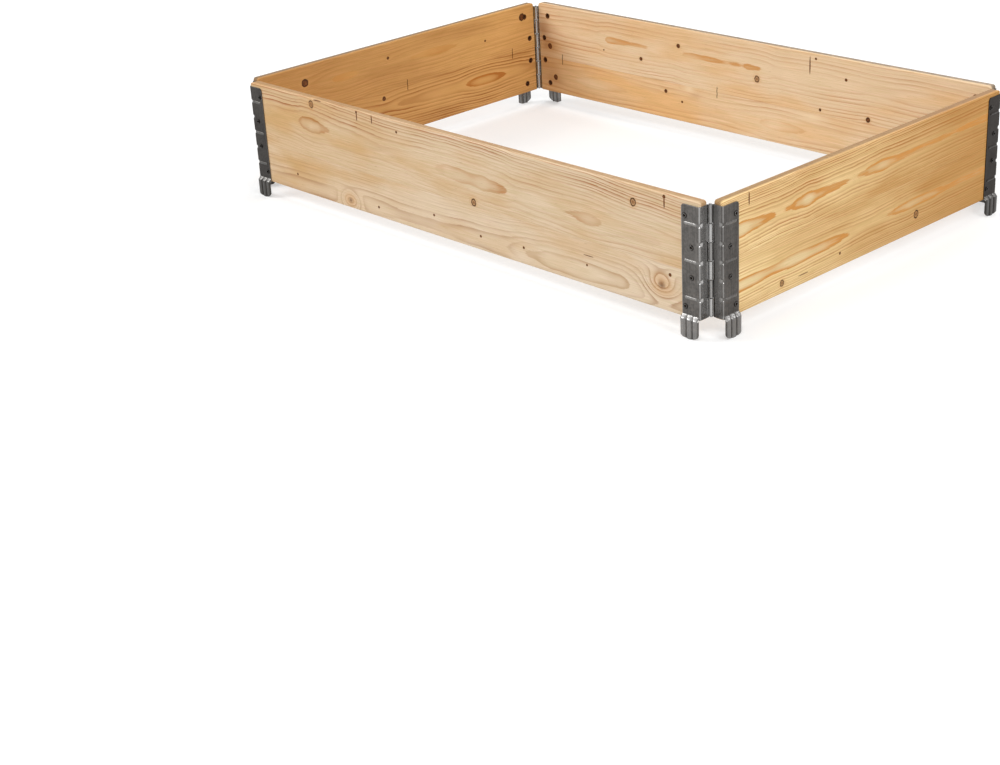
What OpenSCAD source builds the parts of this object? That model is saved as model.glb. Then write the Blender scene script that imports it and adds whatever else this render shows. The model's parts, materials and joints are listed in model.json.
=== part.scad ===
// Folding pallet collar: four two-board sides, joined at the corners by riveted sheet-steel hinges.
// The collar stands on its prong tips at z = 0, with +X along the long sides and +Z up.

/* [Collar] */
// Length over the outer faces of the short sides
collar_l = 1200; // [900:10:1600]
// Width over the outer faces of the long sides
collar_w = 800; // [600:10:1200]
// Height of a side
side_h = 195; // [185:1:240]

/* [Boards] */
// Thickness of the boards
board_t = 18; // [15:0.5:26]
// Height of the seam above the bottom edge on the long sides
long_seam_h = 78; // [50:1:150]
// Height of the seam above the bottom edge on the short sides
short_seam_h = 97; // [50:1:150]
// Radius of the upper corners of a side
side_corner_r = 5; // [2:0.5:14]

/* [Seam fasteners] */
// Length of a fastener across the seam
strip_l = 24; // [16:1:40]
// Thickness of a fastener
strip_t = 1.4; // [0.8:0.1:2]
// Depth of a fastener from the inner face
strip_depth = 11; // [6:0.5:14]
// Distance of the outer fasteners from the board ends
strip_inset = 70; // [60:1:150]
// Distance of the middle fastener from the middle of a long side, towards its right end
strip_shift = 60; // [-200:5:200]

/* [Hinge leaves] */
// Thickness of the sheet
sheet_t = 1.5; // [1.2:0.1:2]
// Width of the flange on the outer face
flange_w = 37; // [34:0.5:48]
// Outside radius of the bend
bend_r = 2.5; // [2.2:0.1:4]
// Radius of the flange's upper corner
flange_corner_r = 6; // [1:0.5:8]
// Bare wood above the leaf
top_margin = 7; // [4:0.5:10]
// Bare wood below the bend
bend_margin = 2; // [1:0.5:5]
// Width of the pressed ribs
rib_w = 5.4; // [3:0.1:7]
// Height of the pressed ribs
rib_rise = 1.1; // [0.5:0.1:1.4]
// Distance of a rib from the flange's free edge and from the bend
rib_end = 6.5; // [5:0.5:9]
// First rib below the top of the leaf
rib_first = 30; // [28:0.5:36]
// Pitch of the ribs
rib_pitch = 61.5; // [58:0.5:64]
// Number of ribs
rib_count = 3; // [2:1:3]

/* [Knuckles and pins] */
// Diameter of the pin
pin_d = 4; // [3:0.1:6]
// Radial running clearance of the pin
pin_clear = 0.05; // [0.02:0.01:0.1]
// Number of knuckles on a pin
knuckle_count = 6; // [4:2:8]
// Gap between neighbouring knuckles
knuckle_gap = 0.5; // [0.3:0.1:1]
// Bare wood below the lowest knuckle
knuckle_margin = 3.5; // [3:0.5:8]
// Gap around a knuckle to the other leaf and to a folded side
fold_clear = 0.4; // [0.3:0.05:1]
// Diameter of the pin's peened ends
pin_head_d = 5.6; // [5:0.1:7]
// Height of the pin's peened ends
pin_head_h = 1; // [0.6:0.1:1.6]

/* [Prongs] */
// Reach of the prongs below the bottom edge
prong_drop = 32; // [24:1:45]
// Step of the prongs away from the sides
prong_step = 4.5; // [3:0.5:8]
// Start of the step above the bottom edge
step_top = 6; // [5:0.5:9]
// Height of the step
step_h = 6.5; // [5:0.5:10]
// Distance of a prong from the bend
prong_inset = 3; // [2.5:0.5:6]
// Rise of the prong's lower edge from its middle to its sides
tongue_rise = 5; // [2:0.5:8]
// Number of upright lobes pressed into a prong
lobe_count = 3; // [2:1:4]
// Height of the lobes
lobe_rise = 1.6; // [0.8:0.1:2.2]

/* [Rivets] */
// Diameter of the head
head_d = 8.4; // [7:0.1:9.6]
// Height of the head
head_h = 1.3; // [0.8:0.1:2]
// Diameter of the shank
shank_d = 5; // [4:0.1:6]
// Diameter of the hole down the rivet
hollow_d = 3; // [2:0.1:3.4]
// Diameter of the rolled end on the inner side
rolled_d = 7.4; // [6.8:0.1:8]
// Thickness of the rolled end
rolled_h = 1; // [0.6:0.1:1.4]
// Depth of the seat that holds the rolled end
seat_depth = 1.6; // [1.5:0.1:3]
// Radial clearance of the shank and of the rolled end
rivet_clear = 0.15; // [0.05:0.05:0.4]
// First rivet below the top of the leaf
rivet_first = 18.5; // [14:0.5:20]
// Last rivet above the start of the step
rivet_last = 13.5; // [9:0.5:15]
// Distance of the end rivets from the flange's free edge
rivet_edge = 7; // [6:0.5:10]
// Distance of the middle rivets from the bend
rivet_bend = 17; // [15:0.5:20]

/* [Hidden] */
$fn = 64;

// Sides and corners are numbered by quarter turns from the front
FRONT = 0;
RIGHT = 1;
BACK = 2;
LEFT = 3;
// Ends of a side, seen from outside the collar
RIGHT_END = 1;
LEFT_END = -1;
// Overshoot of cutting tools
cut = 1;

wood = [0.85, 0.70, 0.48];
steel = [0.48, 0.49, 0.50];
rivet_steel = [0.40, 0.41, 0.42];

knuckle_r = pin_d / 2 + pin_clear + sheet_t;
pin_inset = board_t + fold_clear + knuckle_r;
leaf_top = side_h - top_margin;
knuckle_pitch = (leaf_top - knuckle_margin + knuckle_gap) / knuckle_count;
knuckle_h = knuckle_pitch - knuckle_gap;
rivet_bottom = step_top + rivet_last;
rivet_pitch = (leaf_top - rivet_first - rivet_bottom) / 3;
prong_w = flange_w - prong_inset;
step_bottom = step_top - step_h;
step_kink = sheet_t * tan(atan2(prong_step, step_h) / 2);
lobe_pitch = prong_w / lobe_count;
lobe_r = arc_r(lobe_pitch, lobe_rise);
tongue_r = arc_r(prong_w, tongue_rise);
rib_r = arc_r(rib_w, rib_rise);

// Radius of an arc from its chord and rise
function arc_r(chord, rise) = (pow(chord / 2, 2) + pow(rise, 2)) / (2 * rise);
function is_long(side) = side % 2 == 0;
function side_span(side) = is_long(side) ? collar_l : collar_w;
function side_reach(side) = (is_long(side) ? collar_w : collar_l) / 2;
function board_l(side) = side_span(side) - 2 * (pin_inset + knuckle_r);
function seam_h(side) = is_long(side) ? long_seam_h : short_seam_h;
// Distance of each rivet from the board end, from the top rivet down
function rivet_x(i) = (i == 0 || i == 3) ? flange_w - sheet_t - rivet_edge : rivet_bend - sheet_t;

// Side frame: x along the side, y = 0 on its outer face and +y inwards, z = 0 on its bottom edge
module on_side(side) {
    rotate(90 * side) translate([0, -side_reach(side), prong_drop]) children();
}

// End frame: the same, with x = 0 on the board end and +x off the board
module at_end(side, end) {
    mirror([end == LEFT_END ? 1 : 0, 0, 0]) translate([board_l(side) / 2, 0, 0]) children();
}

// Waste of a rounded corner at the origin, on the side of +x and +y
module corner_waste(r) {
    difference() {
        translate([-r, -r]) square(r + cut);
        translate([-r, -r]) circle(r);
    }
}

// Boards
module side_board(side, low, high) {
    half = board_l(side) / 2;
    color(wood) on_side(side) difference() {
        translate([-half, 0, low]) cube([2 * half, board_t, high - low]);
        for (end = [RIGHT_END, LEFT_END]) at_end(side, end) {
            translate([0, board_t + cut, side_h]) rotate([90, 0, 0])
                linear_extrude(board_t + 2 * cut) corner_waste(side_corner_r);
            translate([0, 0, -cut]) mirror([0, 1, 0])
                linear_extrude(side_h + 2 * cut) corner_waste(bend_r - sheet_t);
            for (i = [0:3]) at_rivet(i) rivet_hole();
        }
        seam_strips_at(side);
    }
}

module upper_board(side) {
    side_board(side, seam_h(side), side_h);
}

module lower_board(side) {
    side_board(side, 0, seam_h(side));
}

// Seam fasteners
module seam_strips_at(side) {
    reach = board_l(side) / 2 - strip_inset;
    middle = is_long(side) ? strip_shift : 0;
    for (x = [-reach, middle, reach])
        translate([x - strip_t / 2, board_t - strip_depth, seam_h(side) - strip_l / 2])
            cube([strip_t, strip_depth, strip_l]);
}

module seam_strips(side) {
    color(steel) on_side(side) seam_strips_at(side);
}

// Hinge leaf, in the end frame
module angle_section() {
    return_y = pin_inset - knuckle_r - fold_clear;
    difference() {
        translate([sheet_t - flange_w, -sheet_t]) square([flange_w, sheet_t + return_y]);
        translate([sheet_t, -sheet_t]) mirror([0, 1, 0]) corner_waste(bend_r);
        difference() {
            translate([-flange_w, 0]) square([flange_w, return_y + cut]);
            mirror([0, 1, 0]) corner_waste(bend_r - sheet_t);
        }
    }
}

module angle_plate() {
    difference() {
        translate([0, 0, bend_margin]) linear_extrude(leaf_top - bend_margin) angle_section();
        // Upper corner of the flange
        translate([sheet_t - flange_w, cut, leaf_top]) rotate([90, 0, 0]) mirror([1, 0, 0])
            linear_extrude(sheet_t + 2 * cut) corner_waste(flange_corner_r);
        // The flange gives way to the prong below the step
        translate([-flange_w, -sheet_t - cut, bend_margin - cut])
            cube([flange_w + sheet_t - prong_inset, sheet_t + cut, step_top - bend_margin + cut]);
        // Lower edge of the return rises towards the knuckles
        translate([-cut, 0, bend_margin]) rotate([90, 0, 90]) linear_extrude(sheet_t + 2 * cut)
            polygon([[0, -cut], [0, 0], [pin_inset, knuckle_margin - bend_margin], [pin_inset, -cut]]);
    }
}

// Sheet from the flange out to the prong, with a short upright lip
module prong_step_plate() {
    outer = -sheet_t - prong_step;
    lip = step_bottom - step_kink - sheet_t;
    rotate([90, 0, 90]) linear_extrude(prong_w) polygon([
        [-sheet_t, step_top], [outer, step_bottom], [outer, lip], [-prong_step, lip],
        [-prong_step, step_bottom - step_kink], [0, step_top - step_kink], [0, step_top]
    ]);
}

// Round bars side by side, whose fronts are the lobes
module lobe_bars(r, low, high) {
    for (i = [0:lobe_count - 1])
        translate([(i + 0.5) * lobe_pitch, lobe_r - sheet_t - prong_step - lobe_rise, low])
            cylinder(r = r, h = high - low, $fn = 128);
}

// Lobed sheet with its own thickness, closed at the top and rounded below
module prong_tongue() {
    top = step_bottom - step_kink;
    front = -prong_step - sheet_t - lobe_rise - cut;
    difference() {
        intersection() {
            lobe_bars(lobe_r, -prong_drop, top);
            translate([0, front, -prong_drop]) cube([prong_w, -prong_step - front, prong_drop + top]);
            translate([prong_w / 2, 0, tongue_r - prong_drop]) rotate([90, 0, 0])
                cylinder(r = tongue_r, h = -front, $fn = 128);
        }
        lobe_bars(lobe_r - sheet_t, -prong_drop - cut, top - sheet_t);
    }
}

module prong() {
    translate([sheet_t - flange_w, 0, 0]) {
        prong_step_plate();
        prong_tongue();
    }
}

module ribs() {
    sunk = rib_r - rib_rise;
    length = flange_w - 2 * rib_end;
    for (i = [0:rib_count - 1])
        translate([sheet_t - flange_w + rib_end, 0, leaf_top - rib_first - i * rib_pitch]) intersection() {
            translate([0, sunk - sheet_t, 0]) union() {
                rotate([0, 90, 0]) cylinder(r = rib_r, h = length);
                for (x = [0, length]) translate([x, 0, 0]) sphere(rib_r);
            }
            translate([-rib_r, -sheet_t - rib_rise - cut, -rib_r])
                cube([length + 2 * rib_r, rib_rise + cut + sheet_t / 2, 2 * rib_r]);
        }
}

// Rolled knuckles of one leaf: every other place on the pin, starting from the given one at the top
module knuckles(start) {
    for (i = [start:2:knuckle_count - 1])
        translate([0, 0, leaf_top - i * knuckle_pitch - knuckle_h]) {
            translate([knuckle_r, pin_inset, 0]) cylinder(r = knuckle_r, h = knuckle_h);
            cube([sheet_t, pin_inset, knuckle_h]);
        }
}

module leaf(side, end) {
    color(steel) on_side(side) at_end(side, end) difference() {
        union() {
            angle_plate();
            prong();
            ribs();
            knuckles(end == RIGHT_END ? 1 : 0);
        }
        translate([knuckle_r, pin_inset, 0]) cylinder(d = pin_d + 2 * pin_clear, h = side_h);
        for (i = [0:3]) at_rivet(i) rivet_hole();
    }
}

// Hinge pin at the right end of a side
module hinge_pin(side) {
    bottom = knuckle_margin - knuckle_gap;
    top = leaf_top + knuckle_gap;
    color(rivet_steel) on_side(side) at_end(side, RIGHT_END) translate([knuckle_r, pin_inset, 0]) {
        translate([0, 0, bottom]) cylinder(d = pin_d, h = top - bottom);
        translate([0, 0, bottom - pin_head_h]) cylinder(d = pin_head_d, h = pin_head_h);
        translate([0, 0, top]) cylinder(d = pin_head_d, h = pin_head_h);
    }
}

// Rivets: z runs from the outer face of the board inwards
module at_rivet(i) {
    translate([-rivet_x(i), 0, leaf_top - rivet_first - i * rivet_pitch]) rotate([-90, 0, 0]) children();
}

module rivet_hole() {
    translate([0, 0, -sheet_t - cut])
        cylinder(d = shank_d + 2 * rivet_clear, h = board_t + sheet_t + 2 * cut);
    translate([0, 0, board_t - seat_depth]) cylinder(d = rolled_d + 2 * rivet_clear, h = seat_depth + cut);
}

module rivet() {
    seat = board_t - seat_depth;
    difference() {
        union() {
            translate([0, 0, -sheet_t - head_h]) cylinder(d1 = head_d - head_h, d2 = head_d, h = head_h / 2);
            translate([0, 0, -sheet_t - head_h / 2]) cylinder(d = head_d, h = head_h / 2);
            translate([0, 0, -sheet_t]) cylinder(d = shank_d, h = sheet_t + seat);
            translate([0, 0, seat]) cylinder(d = rolled_d, h = rolled_h);
        }
        translate([0, 0, -sheet_t - head_h - cut])
            cylinder(d = hollow_d, h = sheet_t + head_h + seat + rolled_h + 2 * cut);
    }
}

module rivets(side, end) {
    color(rivet_steel) on_side(side) at_end(side, end) for (i = [0:3]) at_rivet(i) rivet();
}

module front_upper_board() { upper_board(FRONT); }
module front_lower_board() { lower_board(FRONT); }
module right_upper_board() { upper_board(RIGHT); }
module right_lower_board() { lower_board(RIGHT); }
module back_upper_board() { upper_board(BACK); }
module back_lower_board() { lower_board(BACK); }
module left_upper_board() { upper_board(LEFT); }
module left_lower_board() { lower_board(LEFT); }
module front_seam_strips() { seam_strips(FRONT); }
module right_seam_strips() { seam_strips(RIGHT); }
module back_seam_strips() { seam_strips(BACK); }
module left_seam_strips() { seam_strips(LEFT); }
module front_right_leaf() { leaf(FRONT, RIGHT_END); }
module front_left_leaf() { leaf(FRONT, LEFT_END); }
module right_back_leaf() { leaf(RIGHT, RIGHT_END); }
module right_front_leaf() { leaf(RIGHT, LEFT_END); }
module back_left_leaf() { leaf(BACK, RIGHT_END); }
module back_right_leaf() { leaf(BACK, LEFT_END); }
module left_front_leaf() { leaf(LEFT, RIGHT_END); }
module left_back_leaf() { leaf(LEFT, LEFT_END); }
module front_right_rivets() { rivets(FRONT, RIGHT_END); }
module front_left_rivets() { rivets(FRONT, LEFT_END); }
module right_back_rivets() { rivets(RIGHT, RIGHT_END); }
module right_front_rivets() { rivets(RIGHT, LEFT_END); }
module back_left_rivets() { rivets(BACK, RIGHT_END); }
module back_right_rivets() { rivets(BACK, LEFT_END); }
module left_front_rivets() { rivets(LEFT, RIGHT_END); }
module left_back_rivets() { rivets(LEFT, LEFT_END); }
module front_right_pin() { hinge_pin(FRONT); }
module back_right_pin() { hinge_pin(RIGHT); }
module back_left_pin() { hinge_pin(BACK); }
module front_left_pin() { hinge_pin(LEFT); }

front_upper_board();
front_lower_board();
right_upper_board();
right_lower_board();
back_upper_board();
back_lower_board();
left_upper_board();
left_lower_board();
front_seam_strips();
right_seam_strips();
back_seam_strips();
left_seam_strips();
front_right_leaf();
front_left_leaf();
right_back_leaf();
right_front_leaf();
back_left_leaf();
back_right_leaf();
left_front_leaf();
left_back_leaf();
front_right_rivets();
front_left_rivets();
right_back_rivets();
right_front_rivets();
back_left_rivets();
back_right_rivets();
left_front_rivets();
left_back_rivets();
front_right_pin();
back_right_pin();
back_left_pin();
front_left_pin();
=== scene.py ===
"""Looks of a folding pallet collar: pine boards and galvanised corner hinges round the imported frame.

Sizes are in millimetres and become metres when a mesh is filled. A side's own frame has u along the side,
v = 0 on its outer face and growing inwards, and z = 0 on the collar's bottom edge. An end's own frame has
x = 0 on the board end and growing off the board, with the same v and z.
"""
import json
import math

import bpy
import numpy as np
from mathutils import Matrix, Vector

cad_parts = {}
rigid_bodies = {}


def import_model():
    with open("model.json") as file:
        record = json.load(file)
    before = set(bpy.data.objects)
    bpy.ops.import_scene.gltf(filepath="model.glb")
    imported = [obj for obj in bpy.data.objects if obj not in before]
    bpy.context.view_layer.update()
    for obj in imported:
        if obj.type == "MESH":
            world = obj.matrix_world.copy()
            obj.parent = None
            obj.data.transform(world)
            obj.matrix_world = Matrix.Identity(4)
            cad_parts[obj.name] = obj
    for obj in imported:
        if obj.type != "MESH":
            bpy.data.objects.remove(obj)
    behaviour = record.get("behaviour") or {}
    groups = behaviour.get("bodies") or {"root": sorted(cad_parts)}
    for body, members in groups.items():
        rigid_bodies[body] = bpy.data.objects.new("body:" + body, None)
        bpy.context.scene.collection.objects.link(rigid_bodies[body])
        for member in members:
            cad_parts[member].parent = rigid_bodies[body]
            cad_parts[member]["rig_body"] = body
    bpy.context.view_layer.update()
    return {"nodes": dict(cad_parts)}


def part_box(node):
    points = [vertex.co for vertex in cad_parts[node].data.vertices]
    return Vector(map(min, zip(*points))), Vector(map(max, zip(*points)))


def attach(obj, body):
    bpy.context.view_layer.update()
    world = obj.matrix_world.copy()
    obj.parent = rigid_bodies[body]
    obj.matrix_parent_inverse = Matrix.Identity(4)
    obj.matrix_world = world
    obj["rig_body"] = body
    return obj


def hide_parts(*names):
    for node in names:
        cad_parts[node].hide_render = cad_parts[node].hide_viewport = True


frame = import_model()

MM = 0.001
# Lengths this near count as one, the share of a step that needs no further step, and a least divisor
NEAR = 1e-3
SLACK = 1e-6
TINY = 1e-9
# Decimals of a millimetre to which grid lines and mesh points are rounded before doubles are dropped
LINE_DECIMALS = 4
POINT_DECIMALS = 3
SIDES = ("front", "right", "back", "left")
LONG_SIDES = ("front", "back")
# The leaf at each end of a side: its name and the end's sign along u
ENDS = {
    "front": (("front_right", 1), ("front_left", -1)),
    "right": (("right_back", 1), ("right_front", -1)),
    "back": (("back_left", 1), ("back_right", -1)),
    "left": (("left_front", 1), ("left_back", -1)),
}
PINS = ("front_right_pin", "back_right_pin", "back_left_pin", "front_left_pin")


def node_box(node):
    """Lowest and highest corner of a CAD node, in millimetres."""
    low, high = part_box(node)
    return np.array(low) / MM, np.array(high) / MM


# Sizes read from the frame

front_low, front_high = node_box("front_upper_board")
lower_low, _ = node_box("front_lower_board")
leaf_low, leaf_high = node_box("front_right_leaf")
rivets_low, rivets_high = node_box("front_right_rivets")
pin_low, pin_high = node_box("front_right_pin")
strip_low, strip_high = node_box("front_seam_strips")

BOTTOM = lower_low[2]
SIDE_H = front_high[2] - BOTTOM
BOARD_T = front_high[1] - front_low[1]
PIN_X = (pin_low[0] + pin_high[0]) / 2 - front_high[0]
PIN_V = (pin_low[1] + pin_high[1]) / 2 - front_low[1]
PIN_HEAD_R = (pin_high[0] - pin_low[0]) / 2
LEAF_TOP = leaf_high[2] - BOTTOM
FLANGE_EDGE = leaf_low[0] - front_high[0]
PRONG_TIP = leaf_low[2] - BOTTOM


def measure_side(side):
    """Half length, reach from the middle and seam height of a side."""
    low, high = node_box(f"{side}_upper_board")
    along = 0 if side in LONG_SIDES else 1
    across = 1 - along
    return {
        "half": (high[along] - low[along]) / 2,
        "reach": max(abs(low[across]), abs(high[across])),
        "seam": low[2] - BOTTOM,
    }


SIZE = {side: measure_side(side) for side in SIDES}

# Boards
EASE = 1.8
SEAM_EASE = 0.12
TOP_CORNER_R = 5.0
CORNER_STEP = 1.2
WOOD_STEP = 5.0
WOOD_STEP_Z = 4.0
# Share of an ease, from the edge, at which one more grid line rounds its arc
MID_ARC = 0.414
SEAT_WINDOW = 6.0
SEAT_R = 4.6
SEAT_DEPTH = 2.6
# Reach beyond the seat's radius of the painted shade in and round a rivet seat
SEAT_SHADE_REACH = 1.2
# Radius and depth of each ring of a rivet seat, from its rim in to the middle of its floor
SEAT_RINGS = (
    (SEAT_R + 0.5, 0.0),
    (SEAT_R, 0.35),
    (SEAT_R, SEAT_DEPTH - 0.3),
    (SEAT_R - 0.4, SEAT_DEPTH),
    (0.0, SEAT_DEPTH),
)

# Sheet of the hinge leaves
SHEET = 1.5
SHEET_BEVEL = 0.2
SHEET_STEP = 1.6
SHEET_STEP_Z = 2.5
FLANGE_STEP = 1.3
ROUND_STEP = 0.9
BEND_STEP = 0.6
BEND_R = 2.5
BEND_MARGIN = 2.0
FLANGE_CORNER_R = 6.0
RIB_W = 4.4
RIB_RISE = 1.1
RIB_END = 7.5
RIBS = 3
RIB_DROP = 30.0
RIB_PITCH = 61.5
RIB_Z = LEAF_TOP - RIB_DROP - RIB_PITCH * np.arange(RIBS)
GUSSETS = 5
GUSSET_Z = LEAF_TOP - RIB_DROP - RIB_PITCH / 2 * np.arange(GUSSETS)
GUSSET_DEPTH = 2.0
GUSSET_STEEP = 1.6
GUSSET_HALF_H = 4.2
GUSSET_HALF_S = 6.0
GUSSET_MARGIN = 1.0

# Knuckles
KNUCKLES = 6
KNUCKLE_GAP = 0.5
KNUCKLE_EASE = 0.4
KNUCKLE_MARGIN = 3.5
KNUCKLE_R = PIN_X
RETURN_PROUD = 0.85
# Width of the band at a return's end beside the other leaf's knuckles, painted shade on most leaves and
# painted light on the back-left corner's leaves, and the grid step and margin over it
END_SHADE_W = 3.0
END_SHADE_STEP = 0.8
END_SHADE_MARGIN = 0.6
ROLL_TURN = math.radians(300)
ROLL_LINES = 36

# Prongs
STEP_TOP = 6.0
STEP_H = 6.5
PRONG_STEP = 3.7
PRONG_W = 34.0
LOBES = 3
LOBE_RISE = 2.4
LOBE_POWER = 4
RAMP_STRAIGHT = 0.8
TONGUE_RISE = 5.0
TONGUE_CORNER_R = 4.0
FLARE_FREE = 0.8
FLARE_BEND = 2.2
# Shares of the prong's drop at its grid lines: close together down the step, wider below
PRONG_DROP = np.concatenate([np.linspace(0, 0.24, 13), np.linspace(0.24, 1, 22)[1:]])

# Rivets
HEAD_R = 4.2
HEAD_H = 1.3
SHANK_R = 2.5
BORE_R = 1.7
ROLLED_R = 3.7
ROLLED_H = 1.0
RIVETS = 4
RIVET_WINDOW = 6.5
# Radius out to which the painted shade round a rivet head fades on the leaf
RIVET_SHADE_R = 5.6
RIVET_HOLE_R = 2.65
RIVET_Z = np.linspace(rivets_high[2] - HEAD_R, rivets_low[2] + HEAD_R, RIVETS) - BOTTOM
RIVET_FAR = rivets_low[0] + HEAD_R - front_high[0]
RIVET_NEAR = rivets_high[0] - HEAD_R - front_high[0]
RIVET_X = np.array([RIVET_FAR, RIVET_NEAR, RIVET_NEAR, RIVET_FAR])

# Pins, and the points round and over the head of a turned piece
PIN_HEAD_H = 1.0
PIN_SHANK_R = 2.0
PIN_DOME = np.linspace(0, math.pi / 2, 7)
HEAD_ARC = np.linspace(0, math.pi, 11)
ROUND = 28

# Seam strips
STRIP_L = strip_high[2] - strip_low[2]
STRIP_T = 1.4
STRIP_DEPTH = 6.0
STRIP_INSET = 70.0
LONG_STRIP_SHIFT = 60.0
STRIP_PROUD = 0.15
STRIP_WAVE = 0.35
STRIP_LINES = 25
STRIP_END_POWER = 8
STRIP_END_SHARE = 0.02

# Angles past which an edge is drawn sharp
SHARP = math.radians(50)
RIVET_SHARP = math.radians(60)
STRIP_SHARP = math.radians(40)

# Lengths along the middle of a leaf's sheet, from the flange's free edge
BEND_MID = BEND_R - SHEET / 2
FLANGE_RUN = SHEET - BEND_R - FLANGE_EDGE
RETURN_START = FLANGE_RUN + BEND_MID * math.pi / 2
RETURN_END = RETURN_START + BOARD_T + RETURN_PROUD - (BEND_R - SHEET)
ROLL_START = RETURN_START + PIN_V - (BEND_R - SHEET)
ROLL_MID = KNUCKLE_R - SHEET / 2
ROLL_END = ROLL_START + ROLL_MID * ROLL_TURN


# Grids and meshes


def lines(keys, step, fine=()):
    """Grid lines through the keys, with even steps no wider than step, or than a fine zone's own step."""
    keys = np.unique(np.round(np.asarray(keys, float), LINE_DECIMALS))
    parts = []
    for low, high in zip(keys[:-1], keys[1:]):
        middle = (low + high) / 2
        width = min([step] + [zone[2] for zone in fine if zone[0] <= middle <= zone[1]])
        count = max(1, math.ceil((high - low) / width - SLACK))
        parts.append(np.linspace(low, high, count + 1)[:-1])
    return np.concatenate(parts + [keys[-1:]])


def grid(a_lines, b_lines, holes=()):
    """Points (a, b) where two sets of lines cross and the quads between them, less those in a hole's box."""
    a, b = np.meshgrid(a_lines, b_lines, indexing="ij")
    row = len(b_lines)
    corner = (np.arange(len(a_lines) - 1)[:, None] * row + np.arange(row - 1)).ravel()
    quads = np.stack([corner, corner + row, corner + row + 1, corner + 1], axis=1)
    points = np.stack([a.ravel(), b.ravel()], axis=1)
    middle = points[quads].mean(axis=1)
    keep = np.ones(len(quads), bool)
    for a_low, a_high, b_low, b_high in holes:
        within_a = (middle[:, 0] > a_low) & (middle[:, 0] < a_high)
        keep &= ~(within_a & (middle[:, 1] > b_low) & (middle[:, 1] < b_high))
    return points, quads[keep]


def hole_edge(a_lines, b_lines, hole):
    """Points round the edge of a grid's hole, in order, where the grid's own lines meet it."""
    a_low, a_high, b_low, b_high = hole
    a = a_lines[(a_lines > a_low - NEAR) & (a_lines < a_high + NEAR)]
    b = b_lines[(b_lines > b_low - NEAR) & (b_lines < b_high + NEAR)]
    below = np.stack([a[:-1], np.full(len(a) - 1, b[0])], axis=1)
    right = np.stack([np.full(len(b) - 1, a[-1]), b[:-1]], axis=1)
    above = np.stack([a[:0:-1], np.full(len(a) - 1, b[-1])], axis=1)
    left = np.stack([np.full(len(b) - 1, a[0]), b[:0:-1]], axis=1)
    return np.concatenate([below, right, above, left])


def rings(count, size):
    """Quads between each of count closed rings of size points and the next ring."""
    here = np.arange(size)
    after = (here + 1) % size
    start = (np.arange(count - 1) * size)[:, None]
    corners = [start + here, start + after, start + after + size, start + here + size]
    return np.stack(corners, axis=2).reshape(-1, 4)


def window(a, b, reach):
    """A square hole's box round a centre: lowest and highest a, lowest and highest b."""
    return a - reach, a + reach, b - reach, b + reach


def hole_rings(edge, centre, radii):
    """From a square hole's edge in to round rings: each point keeps its polar angle from ring to ring."""
    offset = edge - centre
    direction = offset / np.linalg.norm(offset, axis=1, keepdims=True)
    circles = [centre + radius * direction for radius in radii]
    return np.concatenate([edge] + circles), rings(len(radii) + 1, len(edge))


def turned(profile, segments, closed):
    """A profile of (radius, height) points turned about the axis: each point becomes a circle."""
    angle = np.arange(segments) * 2 * math.pi / segments
    radius, height = np.asarray(profile, float).T
    across = radius[:, None] * np.cos(angle)
    up = radius[:, None] * np.sin(angle)
    along = np.repeat(height[:, None], segments, axis=1)
    points = np.stack([across, up, along], axis=2).reshape(-1, 3)
    quads = rings(len(radius), segments)
    if closed:
        last = rings(2, segments)
        last[:, :2] += (len(radius) - 1) * segments
        last[:, 2:] -= segments
        quads = np.concatenate([quads, last])
    return points, quads


def join(parts):
    """One set of points and quads from several."""
    starts = np.cumsum([0] + [len(points) for points, _ in parts[:-1]])
    quads = [quads + start for (_, quads), start in zip(parts, starts)]
    return np.concatenate([points for points, _ in parts]), np.concatenate(quads)


def facing_out(points, quads):
    """The quads turned so that the volume they enclose, summed over corner triangles, is positive."""
    a, b, c, d = (points[quads[:, i]] for i in range(4))
    volume = np.sum(a * np.cross(b, c)) + np.sum(a * np.cross(c, d))
    return quads if volume > 0 else quads[:, ::-1]


def fill_mesh(name, points, quads):
    """A mesh of the points in metres: points that coincide are welded, and doubled corners are dropped."""
    rounded = np.round(points, POINT_DECIMALS)
    _, first, inverse = np.unique(rounded, axis=0, return_index=True, return_inverse=True)
    quads = inverse.reshape(-1)[quads]
    kept = quads != np.roll(quads, 1, axis=1)
    corners = quads[kept]
    totals = kept.sum(axis=1)
    starts = np.concatenate([[0], np.cumsum(totals)[:-1]])
    mesh = bpy.data.meshes.new(name)
    mesh.vertices.add(len(first))
    mesh.vertices.foreach_set("co", (points[first] * MM).astype(np.float32).ravel())
    mesh.loops.add(len(corners))
    mesh.loops.foreach_set("vertex_index", corners.astype(np.int32))
    mesh.polygons.add(len(totals))
    mesh.polygons.foreach_set("loop_start", starts.astype(np.int32))
    mesh.polygons.foreach_set("use_smooth", np.ones(len(totals), bool))
    mesh.update(calc_edges=True)
    mesh.validate()
    return mesh, first


def add_field(mesh, name, values, kind, domain):
    """Stores an array as a named attribute of the mesh, for the material to read."""
    stored = mesh.attributes.new(name, kind, domain)
    key = "value" if kind == "FLOAT" else "vector"
    stored.data.foreach_set(key, np.ascontiguousarray(values, np.float32).ravel())


def add_piece(mesh, finish, node):
    """Puts a mesh into the scene in place of a CAD node, on that node's body."""
    piece = bpy.data.objects.new(mesh.name, mesh)
    bpy.context.scene.collection.objects.link(piece)
    mesh.materials.append(finish)
    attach(piece, frame["nodes"][node]["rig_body"])
    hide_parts(node)
    return piece


def on_side(side, u, v, z):
    """Points of a side's own frame in the collar's frame: a quarter turn for each side after the front."""
    quarter = SIDES.index(side)
    cos = (1, 0, -1, 0)[quarter]
    sin = (0, 1, 0, -1)[quarter]
    depth = v - SIZE[side]["reach"]
    return np.stack([u * cos - depth * sin, u * sin + depth * cos, z + BOTTOM], axis=-1)


# Node helpers for the finishes


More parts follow.
